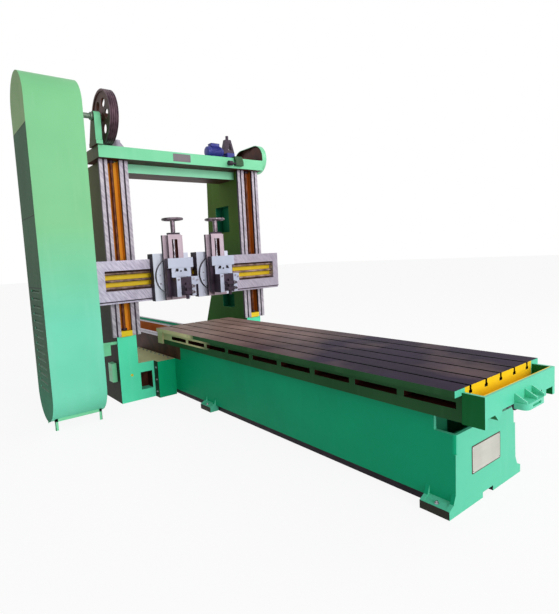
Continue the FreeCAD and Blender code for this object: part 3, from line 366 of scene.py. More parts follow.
@dataclass(frozen=True)
class Iron:
    """Plain cast or oiled iron: a grainy skin over soft blotches.

    Attributes:
        light: The lighter colour.
        deep: The deeper colour.
        rough: The mean roughness.
        metal: How far it reflects as metal.
        blotches: The scale and detail of the blotches.
        share: The fine pattern's share of the colour.
        gloss: How far the pattern takes the roughness down and up.
        relief: The pattern's height in the bump.
    """

    light: str
    deep: str
    rough: float = 0.5
    metal: float = 0.15
    blotches: Span = (7.0, 4)
    share: float = 0.0
    gloss: Span = (0.12, 0.15)
    relief: float = 0.5

    def pattern(self, recipe: Recipe) -> NodeSocket:
        """The fine pattern, from 0 to 1."""
        return recipe.noise(240.0, 3)

    def spread(self, recipe: Recipe) -> Surface:
        """Paints this finish with a recipe's nodes."""
        fine = self.pattern(recipe)
        shade = recipe.mix(self.share, recipe.blotches(*self.blotches), fine)
        down, up = self.gloss
        return Surface(recipe.blend(shade, hue(self.deep), hue(self.light)),
                       recipe.mix(fine, self.rough - down, self.rough + up), self.metal,
                       recipe.math("MULTIPLY", fine, self.relief))


@dataclass(frozen=True)
class Ground(Iron):
    """Ground iron, with fine lines along the stroke of the wheel."""

    rough: float = 0.36
    metal: float = 0.35
    blotches: Span = (3.5, 5)
    share: float = 0.45
    gloss: Span = (0.1, 0.12)
    relief: float = 0.2
    along: Axis = Axis.X
    lines: float = 260.0

    def pattern(self, recipe: Recipe) -> NodeSocket:
        """Noise drawn out along the stroke."""
        return recipe.noise(self.lines, 2, [0.02 if axis is self.along else 1.0
                                            for axis in Axis])


@dataclass(frozen=True)
class Scraped(Iron):
    """A hand-scraped way: rows of slanting strokes that catch the light."""

    rough: float = 0.36
    metal: float = 0.3
    blotches: Span = (2.5, 4)
    share: float = 0.7
    gloss: Span = (0.08, 0.14)
    relief: float = 0.15
    marks: float = 46.0

    def pattern(self, recipe: Recipe) -> NodeSocket:
        """Strokes that slant by 50 degrees and are seven times as long as wide."""
        return recipe.span(recipe.strokes(self.marks, 50.0, 7.0), 0.35, 0.65)


@dataclass(frozen=True)
class Turned(Iron):
    """Bright turned steel with fine tool marks."""

    rough: float = 0.24
    metal: float = 0.75
    blotches: Span = (14.0, 3)
    gloss: Span = (0.06, 0.12)
    relief: float = 0.1

    def pattern(self, recipe: Recipe) -> NodeSocket:
        """Fine even noise."""
        return recipe.noise(340.0, 2)


@dataclass(frozen=True)
class Faded:
    """One finish that turns into the colour of another along an axis.

    Attributes:
        first: The finish before the fade.
        second: The finish whose colour comes after it.
        axis: The axis of the fade.
        reach: Where the fade starts and ends, in metres.
        patches: The scale, detail, least value and weight of the noise that breaks it up.
        held: Whether the fade is held at its ends before the noise breaks it up.
    """

    first: "Look"
    second: "Look"
    axis: Axis
    reach: Span
    patches: tuple[float, float, float, float] | None = None
    held: bool = True

    def spread(self, recipe: Recipe) -> Surface:
        """Paints this finish with a recipe's nodes."""
        surface, other = self.first.spread(recipe), self.second.spread(recipe)
        fade = recipe.span(recipe.place[self.axis.value], *self.reach, held=self.held)
        if self.patches:
            scale, detail, least, weight = self.patches
            uneven = recipe.span(recipe.noise(scale, detail), least, 1 - least, -weight, weight)
            fade = recipe.span(recipe.math("ADD", fade, uneven), 0.0, 1.0)
        surface.colour = recipe.blend(fade, surface.colour, other.colour)
        return surface


Look = Enamel | Iron | Faded


# Finishes of this machine

MINT = Enamel("8ce6b4", "7edaa6", "a4ecc2")
# Painted light: a brighter mint for the arch tie, against the beam's shadow on it.
TIE_MINT_LIT = Enamel("a8fccf", "9af0c2", "bcfcda")
MINT_WARM = Enamel("8cd69c", "82cc92", "a8e0b2")
MINT_COOL = Enamel("66d6b2", "58caa6", "84dec0")
MINT_GUARD = Enamel("82e8c6", "74dcba", "9cecd2")
MINT_FOOT = Enamel("70fcd0", "60f2c2", "8efcdc")
# Painted light: a pale green for the lit top of the guard's left side.
GUARD_SIDE_LIGHT = Enamel("95b684", "86a876", "a8c498", 0.5)
# Painted shade: darker greens and olives for faces that look to the machine's left, and for sides
# that stand in shade.
GUARD_SIDE_SHADE = Enamel("3b6546", "2f5339", "557a5e", 0.5)
RIGHT_COLUMN_SIDE_SHADE = Enamel("5d7a34", "50692c", "758f50", 0.5)
SIDE_SHADE_OLIVE = Enamel("5b5c37", "4a4b2c", "72734e", 0.5)
TABLE_SIDE_SHADE = Enamel("35603d", "28502f", "527a58", 0.45)
TROUGH_END_SHADE = Enamel("0e6a34", "085a2a", "338654", 0.45)
DEEP_SIDE_SHADE = Enamel("33332a", "26251e", "4a4a3e", 0.5)
RIGHT_COLUMN_LOW_SHADE = Enamel("47733a", "3b6330", "5f8b52", 0.5)
GUARD_SIDE_DEEP_SHADE = Enamel("2f5a3e", "274c34", "456f52", 0.5)
BED_GREEN = Enamel("00a878", "009a6e", "10b285", 0.5)
# Painted light: a brighter copy of the bed's green for the shoulders' front, against the shade
# that falls there.
SHOULDER_GREEN_LIT = Enamel("02b982", "02ae79", "1cc08d", 0.5)
DEEP_GREEN = Enamel("1f7f5c", "14573f", "2a8a66", 0.45)
# Cream: partly a real primer and bare tone, partly painted light and reflection on lit tops and at
# the table's far end.
CREAM_TONE_AND_LIGHT = Enamel("f6e6b8", "dccb9c", "fff2d0", 0.5)
YELLOW = Enamel("ffdc2e", "f9cf1c", "ffe86e", 0.4)
ORANGE = Enamel("ffb43a", "f0962a", "ffd070", 0.42)
# A darker copy of the orange: orange paint with painted shade, for the right column's recess and
# the bed's far channel.
ORANGE_IN_SHADE = Enamel("c9732f", "b0601f", "dc8f50", 0.5)
BLUE = Enamel("4247a0", "34388a", "6064b4", 0.35)
HEAD_GREY = Enamel("ccd2e4", "bac1d7", "dcdfec", 0.36)
# Painted light: a brighter copy of the heads' grey for the saddles and discs, against the shade
# round the heads.
HEAD_GREY_LIT = Enamel("eef2ff", "dce2f6", "f6f8ff", 0.36)
GROUND = Ground("c4bdcc", "8f8798")
PALE_GROUND = Ground("d6c2cd", "a8949f")
TABLE_NEAR = Ground("2a1436", "160a20", 0.45, 0.0, along=Axis.Y, lines=190.0)
# The far end of the top is lighter and redder: a reddish tone with painted sheen.
TABLE_FAR_TONE_AND_SHEEN = Ground("c8a69b", "9f7f76", 0.45, 0.0, along=Axis.Y, lines=190.0)
PLATE = Ground("dcd8d0", "bab5ac", 0.4, 0.2)
BEAM_PLATE = Ground("8c8388", "6e666b", 0.4, 0.2)
RAIL_GROUND = Scraped("dbd3e4", "a59db4", 0.45, marks=75.0)
RAIL_RIGHT_TONE = hue("8d7f86")
WAYS = Scraped("cfc6d0", "968d9c")
BRIGHT = Turned("e2dee6", "8e8894")
HAND_STEEL = Turned("9a8a94", "4c3d48", 0.3, 0.7)
SHAFT = Turned("8fa08f", "5f6b60", 0.42, 0.4)
RIM = Turned("6f5560", "42303a", 0.34, 0.6)
SCREW = Turned("8a5540", "44231a", 0.32, 0.5)
ROD = Turned("a48a80", "513a34", 0.28, 0.55)
DARK = Iron("4b3c4d", "2a1f2c", 0.42, 0.2)
BLACK = Iron("2b222b", "120d13", 0.5, 0.1)
BROWN = Iron("5d2f26", "341812")
OLIVE = Iron("5b5136", "2c2a1b", 0.6)


@dataclass(frozen=True)
class Paint:
    """A material of one finish all over, with the record's slot for it."""

    material: Material
    slot: str


def plain(name: str, slot: str, look: Look, depth: float = 0.4, coat: float = 0.0) -> Paint:
    """Makes a paint of one finish all over."""
    return Paint(Recipe(name, look).close(depth, coat), slot)


def layered(name: str, base: Look, layers: Iterable[Layer], **closing: float) -> Material:
    """Makes a material of a base finish with layers over it, in their order.

    Args:
        name: The material's name.
        base: The finish below the layers.
        layers: The layers, the last one on top.
        closing: Depth, coat and specular, as Recipe.close takes them.

    Returns:
        The finished material.
    """
    recipe = Recipe(name, base)
    for layer in layers:
        recipe.lay(layer)
    return recipe.close(**closing)


class Paintshop:
    """Makes each finish once, with the zones that a node's own shape calls for."""

    def __init__(self) -> None:
        """Makes the paints that small parts share."""
        self.mint = plain("mint_enamel", "green_paint", MINT, coat=0.1)
        self.cool = plain("cool_enamel", "green_paint", MINT_COOL, coat=0.1)
        # The louvre blades take the guard side's painted shade.
        self.louvre = plain("louvre_paint", "green_paint", GUARD_SIDE_SHADE)
        self.yellow = plain("yellow_enamel", "yellow_paint", YELLOW, coat=0.1)
        self.blue = plain("blue_enamel", "blue_paint", BLUE, coat=0.1)
        self.bright = plain("bright_steel", "bright_steel", BRIGHT, 0.1)
        self.hand = plain("handwheel_steel", "bright_steel", HAND_STEEL, 0.1)
        self.screw = plain("screw_steel", "bright_steel", SCREW, 0.1)
        self.rod = plain("rod_steel", "bright_steel", ROD, 0.1)
        self.shaft = plain("shaft_steel", "bright_steel", SHAFT)
        self.dark = plain("oiled_steel", "black_steel", DARK)
        self.black = plain("black_bolts", "black_steel", BLACK)
        self.brown = plain("brown_iron", "dark_iron", BROWN)
        self.border = plain("plate_border", "dark_iron", BROWN, 0.1)
        self.ground = plain("ground_iron", "ground_iron", GROUND, 0.1)
        self.plate = plain("bare_plate", "ground_iron", PLATE, 0.1)
        self.beam_plate = plain("beam_plate_steel", "ground_iron", BEAM_PLATE, 0.1)

    def bed(self, node: str) -> Material:
        """Deep green sides, mint ends, bare ways and a dark plinth strip of painted shade."""
        channel = {"z": (400, 760), "near": 263}
        shoulders = [
            # Painted light on the shoulders' front, painted shade on their left faces, and a cream
            # top of painted light over a primer tone.
            Layer("front of the shoulders", SHOULDER_GREEN_LIT, face=Face.FRONT),
            Layer("left of the shoulders", DEEP_SIDE_SHADE, face=Face.LEFT),
            Layer("top of the shoulders", CREAM_TONE_AND_LIGHT, face=Face.TOP),
        ] if node == "bed_shoulders" else []
        return layered(f"{node}_finish", MINT_COOL, [
            Layer("sides", BED_GREEN, face=Face.SIDES, least=0.5),
            # Painted shade on the left faces of the feet's toes, and brown painted shade on the
            # bed's left face under the arch.
            Layer("toes of the feet", DEEP_SIDE_SHADE, z=(-5, 61), past=519, face=Face.LEFT),
            Layer("way under the arch", BROWN, y=(-250, 1250), z=(498, 757), face=Face.LEFT,
                  least=0.5),
            *shoulders,
            # Painted shade in the channel and in the box at the near end; the far channel is
            # orange paint darkened by painted shade.
            Layer("channel", DEEP_GREEN, y=(-4040, 3669), **channel),
            Layer("far channel", ORANGE_IN_SHADE, y=(-400, 3669), **channel),
            Layer("near box", DEEP_GREEN, y=(-4179, -4040), z=(470, 760), near=400),
            Layer("ways", WAYS, z=(690, 760), face=Face.TOP, least=0.4),
            # Painted shade: the recessed plinth under the left side is black.
            Layer("plinth", BLACK, z=(-5, 72), near=407, face=Face.LEFT),
        ], specular=0.15)

    def table(self) -> Material:
        """Dark ground top with painted sheen far off, painted shade on the sides and windows, and
        a yellow end face.
        """
        # Painted shade on the sides, turning into cream painted light and reflection towards the
        # far end.
        flank = Faded(TABLE_SIDE_SHADE, CREAM_TONE_AND_LIGHT, Axis.Y, (-1.15, -0.75), (5.0, 3, 0.2, 0.75), False)
        # Painted sheen: the top grows lighter towards the far end.
        ground = Faded(TABLE_NEAR, TABLE_FAR_TONE_AND_SHEEN, Axis.Y, (-3.0, 0.0), (1.6, 5, 0.3, 0.2))
        return layered("table_finish", MINT_COOL, [
            Layer("sides", flank, face=Face.SIDES),
            # Painted shade: the windows, underside, top's edge, guides and T-slots are darker
            # where shade falls; the end face is yellow paint.
            Layer("windows", BROWN, y=(-4290, 70), z=(779, 827), near=499),
            Layer("underside", OLIVE, face=Face.UNDER),
            Layer("edge of the top", TABLE_SIDE_SHADE, y=(-4400, -950), z=(886, 932),
                  face=Face.SIDES),
            Layer("guides", TABLE_SIDE_SHADE, z=(690, 759)),
            Layer("end face", YELLOW, y=(-4310, -4290), z=(780, 932), near=480,
                  face=Face.FRONT, least=0.9),
            Layer("slots", BLACK, y=(-4299.5, 79.5), z=(870, 930), near=450),
            Layer("ground top", ground, z=(925, 940), face=Face.TOP),
        ], specular=0.03)

    def troughs(self) -> Material:
        """Mint outside and yellow within, with painted shade on the left end and a cream far end
        of painted light.
        """
        inside = {"z": (795, 928), "near": 489}
        return layered("trough_finish", MINT_COOL, [
            # Painted shade on the left end; the far trough is cream painted light.
            Layer("left end", TROUGH_END_SHADE, face=Face.LEFT),
            Layer("far trough", CREAM_TONE_AND_LIGHT, y=(0, 300), off=Face.TOP),
            Layer("inside of the near trough", YELLOW, y=(-4433, -4301), **inside),
            Layer("inside of the far trough", YELLOW, y=(81, 213), **inside),
        ], specular=0.1)

    def column(self, side: Side) -> Material:
        """Mint iron, with painted shade on the faces towards the machine's left, and a warm screw
        recess.
        """
        right = side is Side.RIGHT
        # Painted shade on the left faces, darker low down; the right column's inner face has its
        # own shaded tones.
        high, low = (RIGHT_COLUMN_SIDE_SHADE, RIGHT_COLUMN_LOW_SHADE) if right else (SIDE_SHADE_OLIVE, DEEP_SIDE_SHADE)
        return layered(f"{side.value}_column_finish", MINT, [
            Layer("foot", MINT_FOOT, z=(-5, 893)),
            Layer("flank", Faded(high, low, Axis.Z, (2.6, 1.1)), face=Face.LEFT),
            # The ledge's top is cream: painted light over a primer tone.
            Layer("ledge", CREAM_TONE_AND_LIGHT, z=(480, 520), face=Face.TOP),
            Layer("ports", DEEP_GREEN, y=(362, 765), past=912, near=1035),
            # The right column's recess takes the darker orange: painted shade over the same orange
            # paint.
            Layer("screw recess", ORANGE_IN_SHADE if right else ORANGE, y=(38, 118), z=(880, 3140),
                  past=968, near=1123),
            Layer("hatch", BROWN, y=(42, 205), z=(130, 370), past=720, near=890),
        ], specular=0.06)

    def slideways(self) -> Material:
        """A pale ground face with darker oil grooves, and darker left edges of painted shade."""
        return layered("slideways_finish", WAYS, [
            # The left edges are painted shade.
            Layer("left edges", DARK, face=Face.LEFT), Layer("grooves", DARK, y=(1, 13))],
            depth=0.1)

    def rail(self) -> Material:
        """Scraped front and top, a yellow window ringed with painted shade, and a dark underside
        of painted shade.
        """
        recipe = Recipe("cross_rail_finish", RAIL_GROUND)
        # Darker and duller towards the right end.
        toward_right = recipe.span(recipe.place[0], 0.1, 0.9, 0.0, 0.45)
        recipe.surface.colour = recipe.blend(toward_right, recipe.surface.colour, RAIL_RIGHT_TONE)
        low = Box.of("cross_rail").low.z
        window = {"y": (-156, -58), "near": 1324}
        for layer in (
            Layer("line above the lower edge", DARK, z=(low + 20, low + 36), face=Face.FRONT),
            # Painted shade on the underside and round the window's yellow back.
            Layer("underside", DARK, face=Face.UNDER),
            Layer("window", BROWN, z=(1498, 1749), **window),
            Layer("back of the window", YELLOW, z=(1532, 1714), face=Face.FRONT, **window),
            Layer("top", WAYS, z=(1870, 1880), face=Face.TOP),
        ):
            recipe.lay(layer)
        return recipe.close(0.12)

    def guard(self) -> Material:
        """Sheet steel, warmer above and cooler below, with seams across the flat sides; the left
        side is painted shade, with painted light at its top.
        """
        height = (2.3, 1.2)
        # Painted shade on the guard's left side, its tone changing with height.
        flank = Faded(Faded(GUARD_SIDE_SHADE, GUARD_SIDE_DEEP_SHADE, Axis.Z, height), DEEP_GREEN, Axis.Z,
                      (0.75, 0.35))
        return layered("guard_finish", Faded(MINT_WARM, MINT_GUARD, Axis.Z, height), [
            Layer("flank", flank, face=Face.LEFT),
            # Painted light on the top of the left side, above the seam.
            Layer("top of the flank", GUARD_SIDE_LIGHT, z=(3350, 4100), face=Face.LEFT),
            *(Layer("seam", BLACK, z=(level - 4, level + 4), face=Face.LEFT)
              for level in (3350, 2395, 1618)),
        ], specular=0.05)

    def flanked(self, name: str, front: Enamel) -> Material:
        """Enamel with painted shade on the faces towards the machine's left and on the underside.
        """
        # Painted shade on the left faces and underside.
        return layered(name, front, [Layer("left", SIDE_SHADE_OLIVE, face=Face.LEFT),
                                     Layer("underside", BROWN, face=Face.UNDER)], specular=0.15)

    def belt_cover(self) -> Material:
        """Mint outside, and dark brown painted shade on every face that looks into the cover."""
        recipe = Recipe("belt_cover_finish", MINT)
        box = Box.of("lift_guard")
        radius = box.size.z / 2
        along, upright = recipe.place[1], recipe.place[2]
        held = recipe.math("MINIMUM", recipe.math("MAXIMUM", along, (box.low.y + radius) * MM),
                           (box.high.y - radius) * MM)
        parts = (recipe.math("SUBTRACT", along, held),
                 recipe.math("SUBTRACT", upright, box.middle.z * MM))
        outward = recipe.math("ADD", *(recipe.math("MULTIPLY", part, recipe.normal[index])
                                       for index, part in enumerate(parts, 1)))
        # Painted shade on every face that looks into the cover, and on the end plate.
        recipe.cover("inside", BROWN, recipe.math("LESS_THAN", outward, -0.01))
        recipe.lay(Layer("end plate", BROWN, x=(box.high.x - 12, box.high.x), face=Face.LEFT))
        return recipe.close(coat=0.1)

    def flywheel(self) -> Material:
        """A dark brown web, with a rim rubbed bright."""
        recipe = Recipe("flywheel_finish", BROWN)
        box = Box.of("flywheel")
        offsets = [recipe.math("SUBTRACT", recipe.place[index], box.middle[index] * MM)
                   for index in (1, 2)]
        radius = recipe.math("SQRT", recipe.math("ADD", *(
            recipe.math("MULTIPLY", offset, offset) for offset in offsets)))
        recipe.cover("rim", RIM, recipe.math("GREATER_THAN", radius,
                                             (box.size.z / 2 - 12) * MM))
        return recipe.close(0.3)

    def swivel(self, side: Side) -> Material:
        """Ground guide and plate over a painted disc with a dark edge, and a brown recess."""
        box = Box.of(f"{side.value}_swivel")
        middle, front = box.middle.x, box.low.y
        # The disc's brighter grey is painted light; the left faces are painted shade.
        return layered(f"{side.value}_swivel_finish", HEAD_GREY_LIT, [
            Layer("edge of the disc", DARK, y=(front + 98, front + 150), off=Face.FRONT),
            Layer("guide", PALE_GROUND, y=(front - 1, front + 58)),
            Layer("plate", PALE_GROUND, y=(front + 57, front + 99), z=(1330, 2180)),
            Layer("cap", DARK, z=(2175.5, 2200)),
            Layer("left", DARK, face=Face.LEFT, least=0.5),
            Layer("recess", BROWN, x=(middle - 40.5, middle + 40.5),
                  y=(front + 0.5, front + 51), z=(1384, 2115)),
        ], depth=0.15)

    def slide(self, side: Side, node: str) -> Material:
        """Pale painted front faces, with dark flanks and underside of painted shade."""
        lower = [Layer("lower front", DARK, z=(1380, 1744), face=Face.FRONT)]
        return layered(f"{side.value}_{node}_finish", HEAD_GREY, [
            # Painted shade on the left faces and underside.
            Layer("left", DARK, face=Face.LEFT, least=0.6),
            Layer("underside", DARK, face=Face.UNDER, least=0.6),
            *(lower if node == "tool_slide" else []),
        ], depth=0.25, coat=0.1)

    def saddle(self, side: Side) -> Material:
        """A painted saddle plate in a brighter grey of painted light, with a dark flank of painted
        shade.
        """
        return layered(f"{side.value}_saddle_finish", HEAD_GREY_LIT, [
            Layer("left", DARK, face=Face.LEFT, least=0.6)], depth=0.2, specular=0.15)

    def gear_case(self) -> Material:
        """A blue case under a dark yoke."""
        return layered("gear_case_finish", BLUE, [Layer("yoke", DARK, z=(3389.5, 3700))])

    def control(self) -> Material:
        """A green bracket with a dark knob and rod."""
        return layered("control_finish", TABLE_SIDE_SHADE, [Layer("knob", DARK, x=(600, 734))])


# Shaping with Blender's own tools


def release() -> None:
    """Leaves edit mode and deselects everything."""
    if bpy.context.object and bpy.context.object.mode != "OBJECT":
        bpy.ops.object.mode_set(mode="OBJECT")
    bpy.ops.object.select_all(action="DESELECT")


def take(piece: Object) -> None:
    """Makes one object the only one selected, and the active one."""
    release()
    piece.select_set(True)
    bpy.context.view_layer.objects.active = piece


def settle() -> Object:
    """Applies the active object's place, turn and size to its mesh."""
    bpy.ops.object.transform_apply(location=True, rotation=True, scale=True)
    return bpy.context.object


def bearing(item: bmesh.types.BMFace | bmesh.types.BMEdge) -> tuple[Vector, Vector]:
    """The middle of a face or edge, with the face's normal or the edge's direction."""
    if isinstance(item, bmesh.types.BMFace):
        return item.calc_center_median(), item.normal
    first, second = (vertex.co for vertex in item.verts)
    return (first + second) / 2, (second - first).normalized()


@contextmanager
def editing(piece: Object, wanted: Wanted | None = None,
            kind: str = "FACE") -> Iterator[bmesh.types.BMesh]:
    """Opens a piece in edit mode with the wanted faces or edges selected.

    Args:
        piece: The object to open.
        wanted: Picks by middle, and by normal or direction; nothing is picked without it.
        kind: VERT, EDGE or FACE, the kind that is selected.

    Yields:
        The edit mesh.
    """
    take(piece)
    bpy.ops.object.mode_set(mode="EDIT")
    bpy.ops.mesh.select_mode(type=kind)
    bpy.ops.mesh.select_all(action="DESELECT")
    mesh = bmesh.from_edit_mesh(piece.data)
    if wanted:
        for item in mesh.edges if kind == "EDGE" else mesh.faces:
            item.select_set(wanted(*bearing(item)))
        mesh.select_flush_mode()
        bmesh.update_edit_mesh(piece.data)
    yield mesh
    bpy.ops.object.mode_set(mode="OBJECT")


def running(axis: Axis) -> Wanted:
    """Picks the edges that run along an axis."""
    return lambda _, way: abs(way[axis.value]) > SQUARE


def towards(axis: Axis, sign: int = 1) -> Wanted:
    """Picks the faces that look along an axis, or against it with a negative sign."""
    return lambda _, normal: normal[axis.value] * sign > SQUARE


def add_block(low: Iterable[float], high: Iterable[float]) -> Object:
    """Adds a block between two corners in millimetres."""
    release()
    start, end = Vector(low) * MM, Vector(high) * MM
    bpy.ops.mesh.primitive_cube_add(size=1, location=(start + end) / 2)
    bpy.context.object.scale = end - start
    return settle()


def add_rod(axis: Axis, radius: float, start: Iterable[float], length: float,
            sides: int = 24) -> Object:
    """Adds a round or many-sided rod.

    Args:
        axis: The rod's axis.
        radius: Its radius in millimetres.
        start: The middle of its lower end in millimetres.
        length: Its length in millimetres.
        sides: The number of its sides.

    Returns:
        The rod, with its place in its mesh.
    """
    release()
    middle = (Vector(start) + axis.unit() * length / 2) * MM
    turn = {Axis.X: (0, math.pi / 2, 0), Axis.Y: (math.pi / 2, 0, 0), Axis.Z: (0, 0, 0)}[axis]
    bpy.ops.mesh.primitive_cylinder_add(vertices=sides, radius=radius * MM, depth=length * MM,
                                        location=middle, rotation=turn)
    return settle()


def soften(piece: Object, width: float, segments: int = 2,
           wanted: Wanted | None = None) -> Object:
    """Bevels the wanted edges of a piece, or all its sharp ones.

    Args:
        piece: The object to bevel.
        width: The bevel's width in millimetres.
        segments: The bevel's segments.
        wanted: Picks edges by middle and direction.

    Returns:
        The same object.
    """
    with editing(piece, wanted, "EDGE"):
        if not wanted:
            bpy.ops.mesh.edges_select_sharp(sharpness=SHARP_FROM)
        bpy.ops.mesh.bevel(offset=width * MM, segments=segments, affect="EDGES")
    return piece


def sink(piece: Object, inset: float, depth: float, wanted: Wanted) -> Object:
    """Insets faces and pushes them in."""
    with editing(piece, wanted):
        bpy.ops.mesh.inset(thickness=inset * MM, depth=-depth * MM)
    return piece


def modify(piece: Object, kind: str, **settings: object) -> None:
    """Adds a modifier with its settings and applies it."""
    take(piece)
    change = piece.modifiers.new("change", kind)
    for name, value in settings.items():
        setattr(change, name, value)
    bpy.ops.object.modifier_apply(modifier=change.name)


def row(piece: Object, count: int, pitch: float) -> None:
    """Repeats a piece in an upright row, at a pitch in millimetres."""
    modify(piece, "ARRAY", count=count, use_relative_offset=False, use_constant_offset=True,
           constant_offset_displace=(0, 0, pitch * MM))


def cut_away(piece: Object, tool: Object) -> None:
    """Cuts one object out of another."""
    modify(piece, "BOOLEAN", operation="DIFFERENCE", object=tool)
    bpy.data.objects.remove(tool)


def joined(*pieces: Object) -> Object:
    """Joins several objects into the first of them."""
    release()
    for piece in pieces:
        piece.select_set(True)
    bpy.context.view_layer.objects.active = pieces[0]
    if len(pieces) > 1:
        bpy.ops.object.join()
    return bpy.context.object


def copies(model: Object, places: Iterable[Matrix]) -> Object:
    """Copies a model to each place, each copy with its own mesh, and joins the copies.

    Args:
        model: The model, around the origin; it is used up.
        places: The matrices of the places, in metres.

    Returns:
        One object with all the copies.
    """
    made = []
    for place in places:
        copy = model.copy()
        copy.data = model.data.copy()
        copy.data.transform(place)
        bpy.context.collection.objects.link(copy)
        made.append(copy)
    bpy.data.objects.remove(model)
    return joined(*made)


def lathe(outline: Iterable[Span], axis: Axis, centre: Iterable[float], steps: int) -> Object:
    """Spins an outline of distances and radii around an axis.

    Args:
        outline: Pairs of place along the axis and radius, in millimetres.
        axis: The axis that it spins around.
        centre: A point of the axis in millimetres.
        steps: The steps in a full turn.

    Returns:
        The closed, turned shape.
    """
    release()
    across = Axis((axis.value + 1) % 3)
    middle = Vector(centre) * MM
    bpy.ops.mesh.primitive_plane_add(size=1)
    piece = bpy.context.object
    with editing(piece, kind="VERT") as mesh:
        bmesh.ops.delete(mesh, geom=mesh.verts[:], context="VERTS")
        points = [mesh.verts.new(middle + (axis.unit() * along + across.unit() * radius) * MM)
                  for along, radius in outline]
        for pair in zip(points, points[1:]):
            mesh.edges.new(pair)
        bmesh.update_edit_mesh(piece.data)
        bpy.ops.mesh.select_all(action="SELECT")
        bpy.ops.mesh.spin(steps=steps, angle=math.tau, center=middle, axis=axis.unit())
        bpy.ops.mesh.select_all(action="SELECT")
        bpy.ops.mesh.remove_doubles(threshold=0.00001)
        bpy.ops.mesh.normals_make_consistent(inside=False)
    return piece


def threaded(root: float, crest: float, pitch: float, start: Vector, length: float,
             sides: int) -> Object:
    """An upright rod with a row of thread crests.

    Args:
        root: The radius between crests in millimetres.
        crest: The radius of a crest in millimetres.
        pitch: The distance between crests in millimetres.
        start: The middle of the lower end in millimetres.
        length: The rod's length in millimetres.
        sides: The number of sides.

    Returns:
        The rod and its crests as one object.
    """
    core = add_rod(Axis.Z, root, start, length, sides)
    half, ratio = (crest - root) * 0.6, root / crest
    ring = add_rod(Axis.Z, crest, (start.x, start.y, start.z + half), half, sides)
    middle = Vector((start.x, start.y, 0)) * MM
    for sign in (-1, 1):
        with editing(ring, towards(Axis.Z, sign)):
            bpy.ops.mesh.extrude_region_move(
                TRANSFORM_OT_translate={"value": (0, 0, sign * half * MM)})
            bpy.ops.transform.resize(value=(ratio, ratio, 1), center_override=middle)
            bpy.ops.mesh.delete(type="FACE")
    row(ring, int((length - 3 * half) / pitch), pitch)
    return joined(core, ring)


def at(x: float, y: float, z: float, axis: Axis = Axis.Z, sign: int = 1,
       spin: float = 0.0) -> Matrix:
    """A place in millimetres, with +Z laid along an axis and a turn about it in degrees."""
    turn = Vector((0, 0, 1)).rotation_difference(axis.unit() * sign).to_matrix().to_4x4()
    return (Matrix.Translation(Vector((x, y, z)) * MM) @ turn
            @ Matrix.Rotation(math.radians(spin), 4, "Z"))


def in_front(x: float, y: float, z: float) -> Matrix:
    """A place on a face that looks to the front."""
    return at(x, y, z, Axis.Y, -1)


def hex_bolt(across: float, high: float) -> Object:
    """A hexagon head on a washer, standing on the origin along +Z."""
    washer = soften(add_rod(Axis.Z, across * 0.72, (0, 0, 0), high * 0.2, 20), high * 0.05, 1)
    head = add_rod(Axis.Z, across * 0.56, (0, 0, high * 0.2), high * 0.8, 6)
    soften(head, high * 0.12, 1, lambda middle, way: middle.z > (high - 0.1) * MM)
    return joined(washer, head)


def socket_screw(radius: float, high: float) -> Object:
    """A round head with a sunk socket, standing on the origin along +Z."""
    head = add_rod(Axis.Z, radius, (0, 0, 0), high, 18)
    return sink(head, radius * 0.42, high * 0.5, towards(Axis.Z))


def stud_nut(radius: float, high: float) -> Object:
    """A stud's end through a hexagon nut, standing on the origin along +Z."""
    nut = soften(add_rod(Axis.Z, radius * 1.8, (0, 0, 0), high * 0.55, 6), high * 0.06, 1)
    stud = soften(add_rod(Axis.Z, radius, (0, 0, 0), high, 16), radius * 0.2, 1)
    return joined(nut, stud)


def cover_with(piece: Object, finish: Material | Paint) -> None:
    """Makes a finish the only one of a piece."""
    material = finish.material if isinstance(finish, Paint) else finish
    piece.data.materials.clear()
    piece.data.materials.append(material)
    log.info("%s: covered with %s", piece.name, material.name)


def dress(node: str, finish: Material | Paint) -> None:
    """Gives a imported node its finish."""
    cover_with(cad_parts[node], finish)


def hand_in(piece: Object, name: str, paint: Paint, body: str = "root",
            stands_for: str = "") -> None:
    """Names, smooths, paints and mounts a finished piece.

    Args:
        piece: The finished object.
        name: Its name in the scene.
        paint: Its finish and the record's slot.
        body: The body that it rides on.
        stands_for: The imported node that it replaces, if any.
    """
    take(piece)
    settle()
    piece.name = piece.data.name = name
    cover_with(piece, paint)
    with editing(piece):
        bpy.ops.mesh.select_all(action="SELECT")
        bpy.ops.mesh.normals_make_consistent(inside=False)
    bpy.ops.object.shade_smooth_by_angle(angle=SMOOTH_BELOW)
    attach(piece, body)
    if stands_for:
        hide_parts(stands_for)
    log.info("%s: %d faces on %s", name, len(piece.data.polygons), body)


# The machine's sub-assemblies


@dataclass
class Part:
    """A sub-assembly, with the finishes that it takes."""

    paint: Paintshop


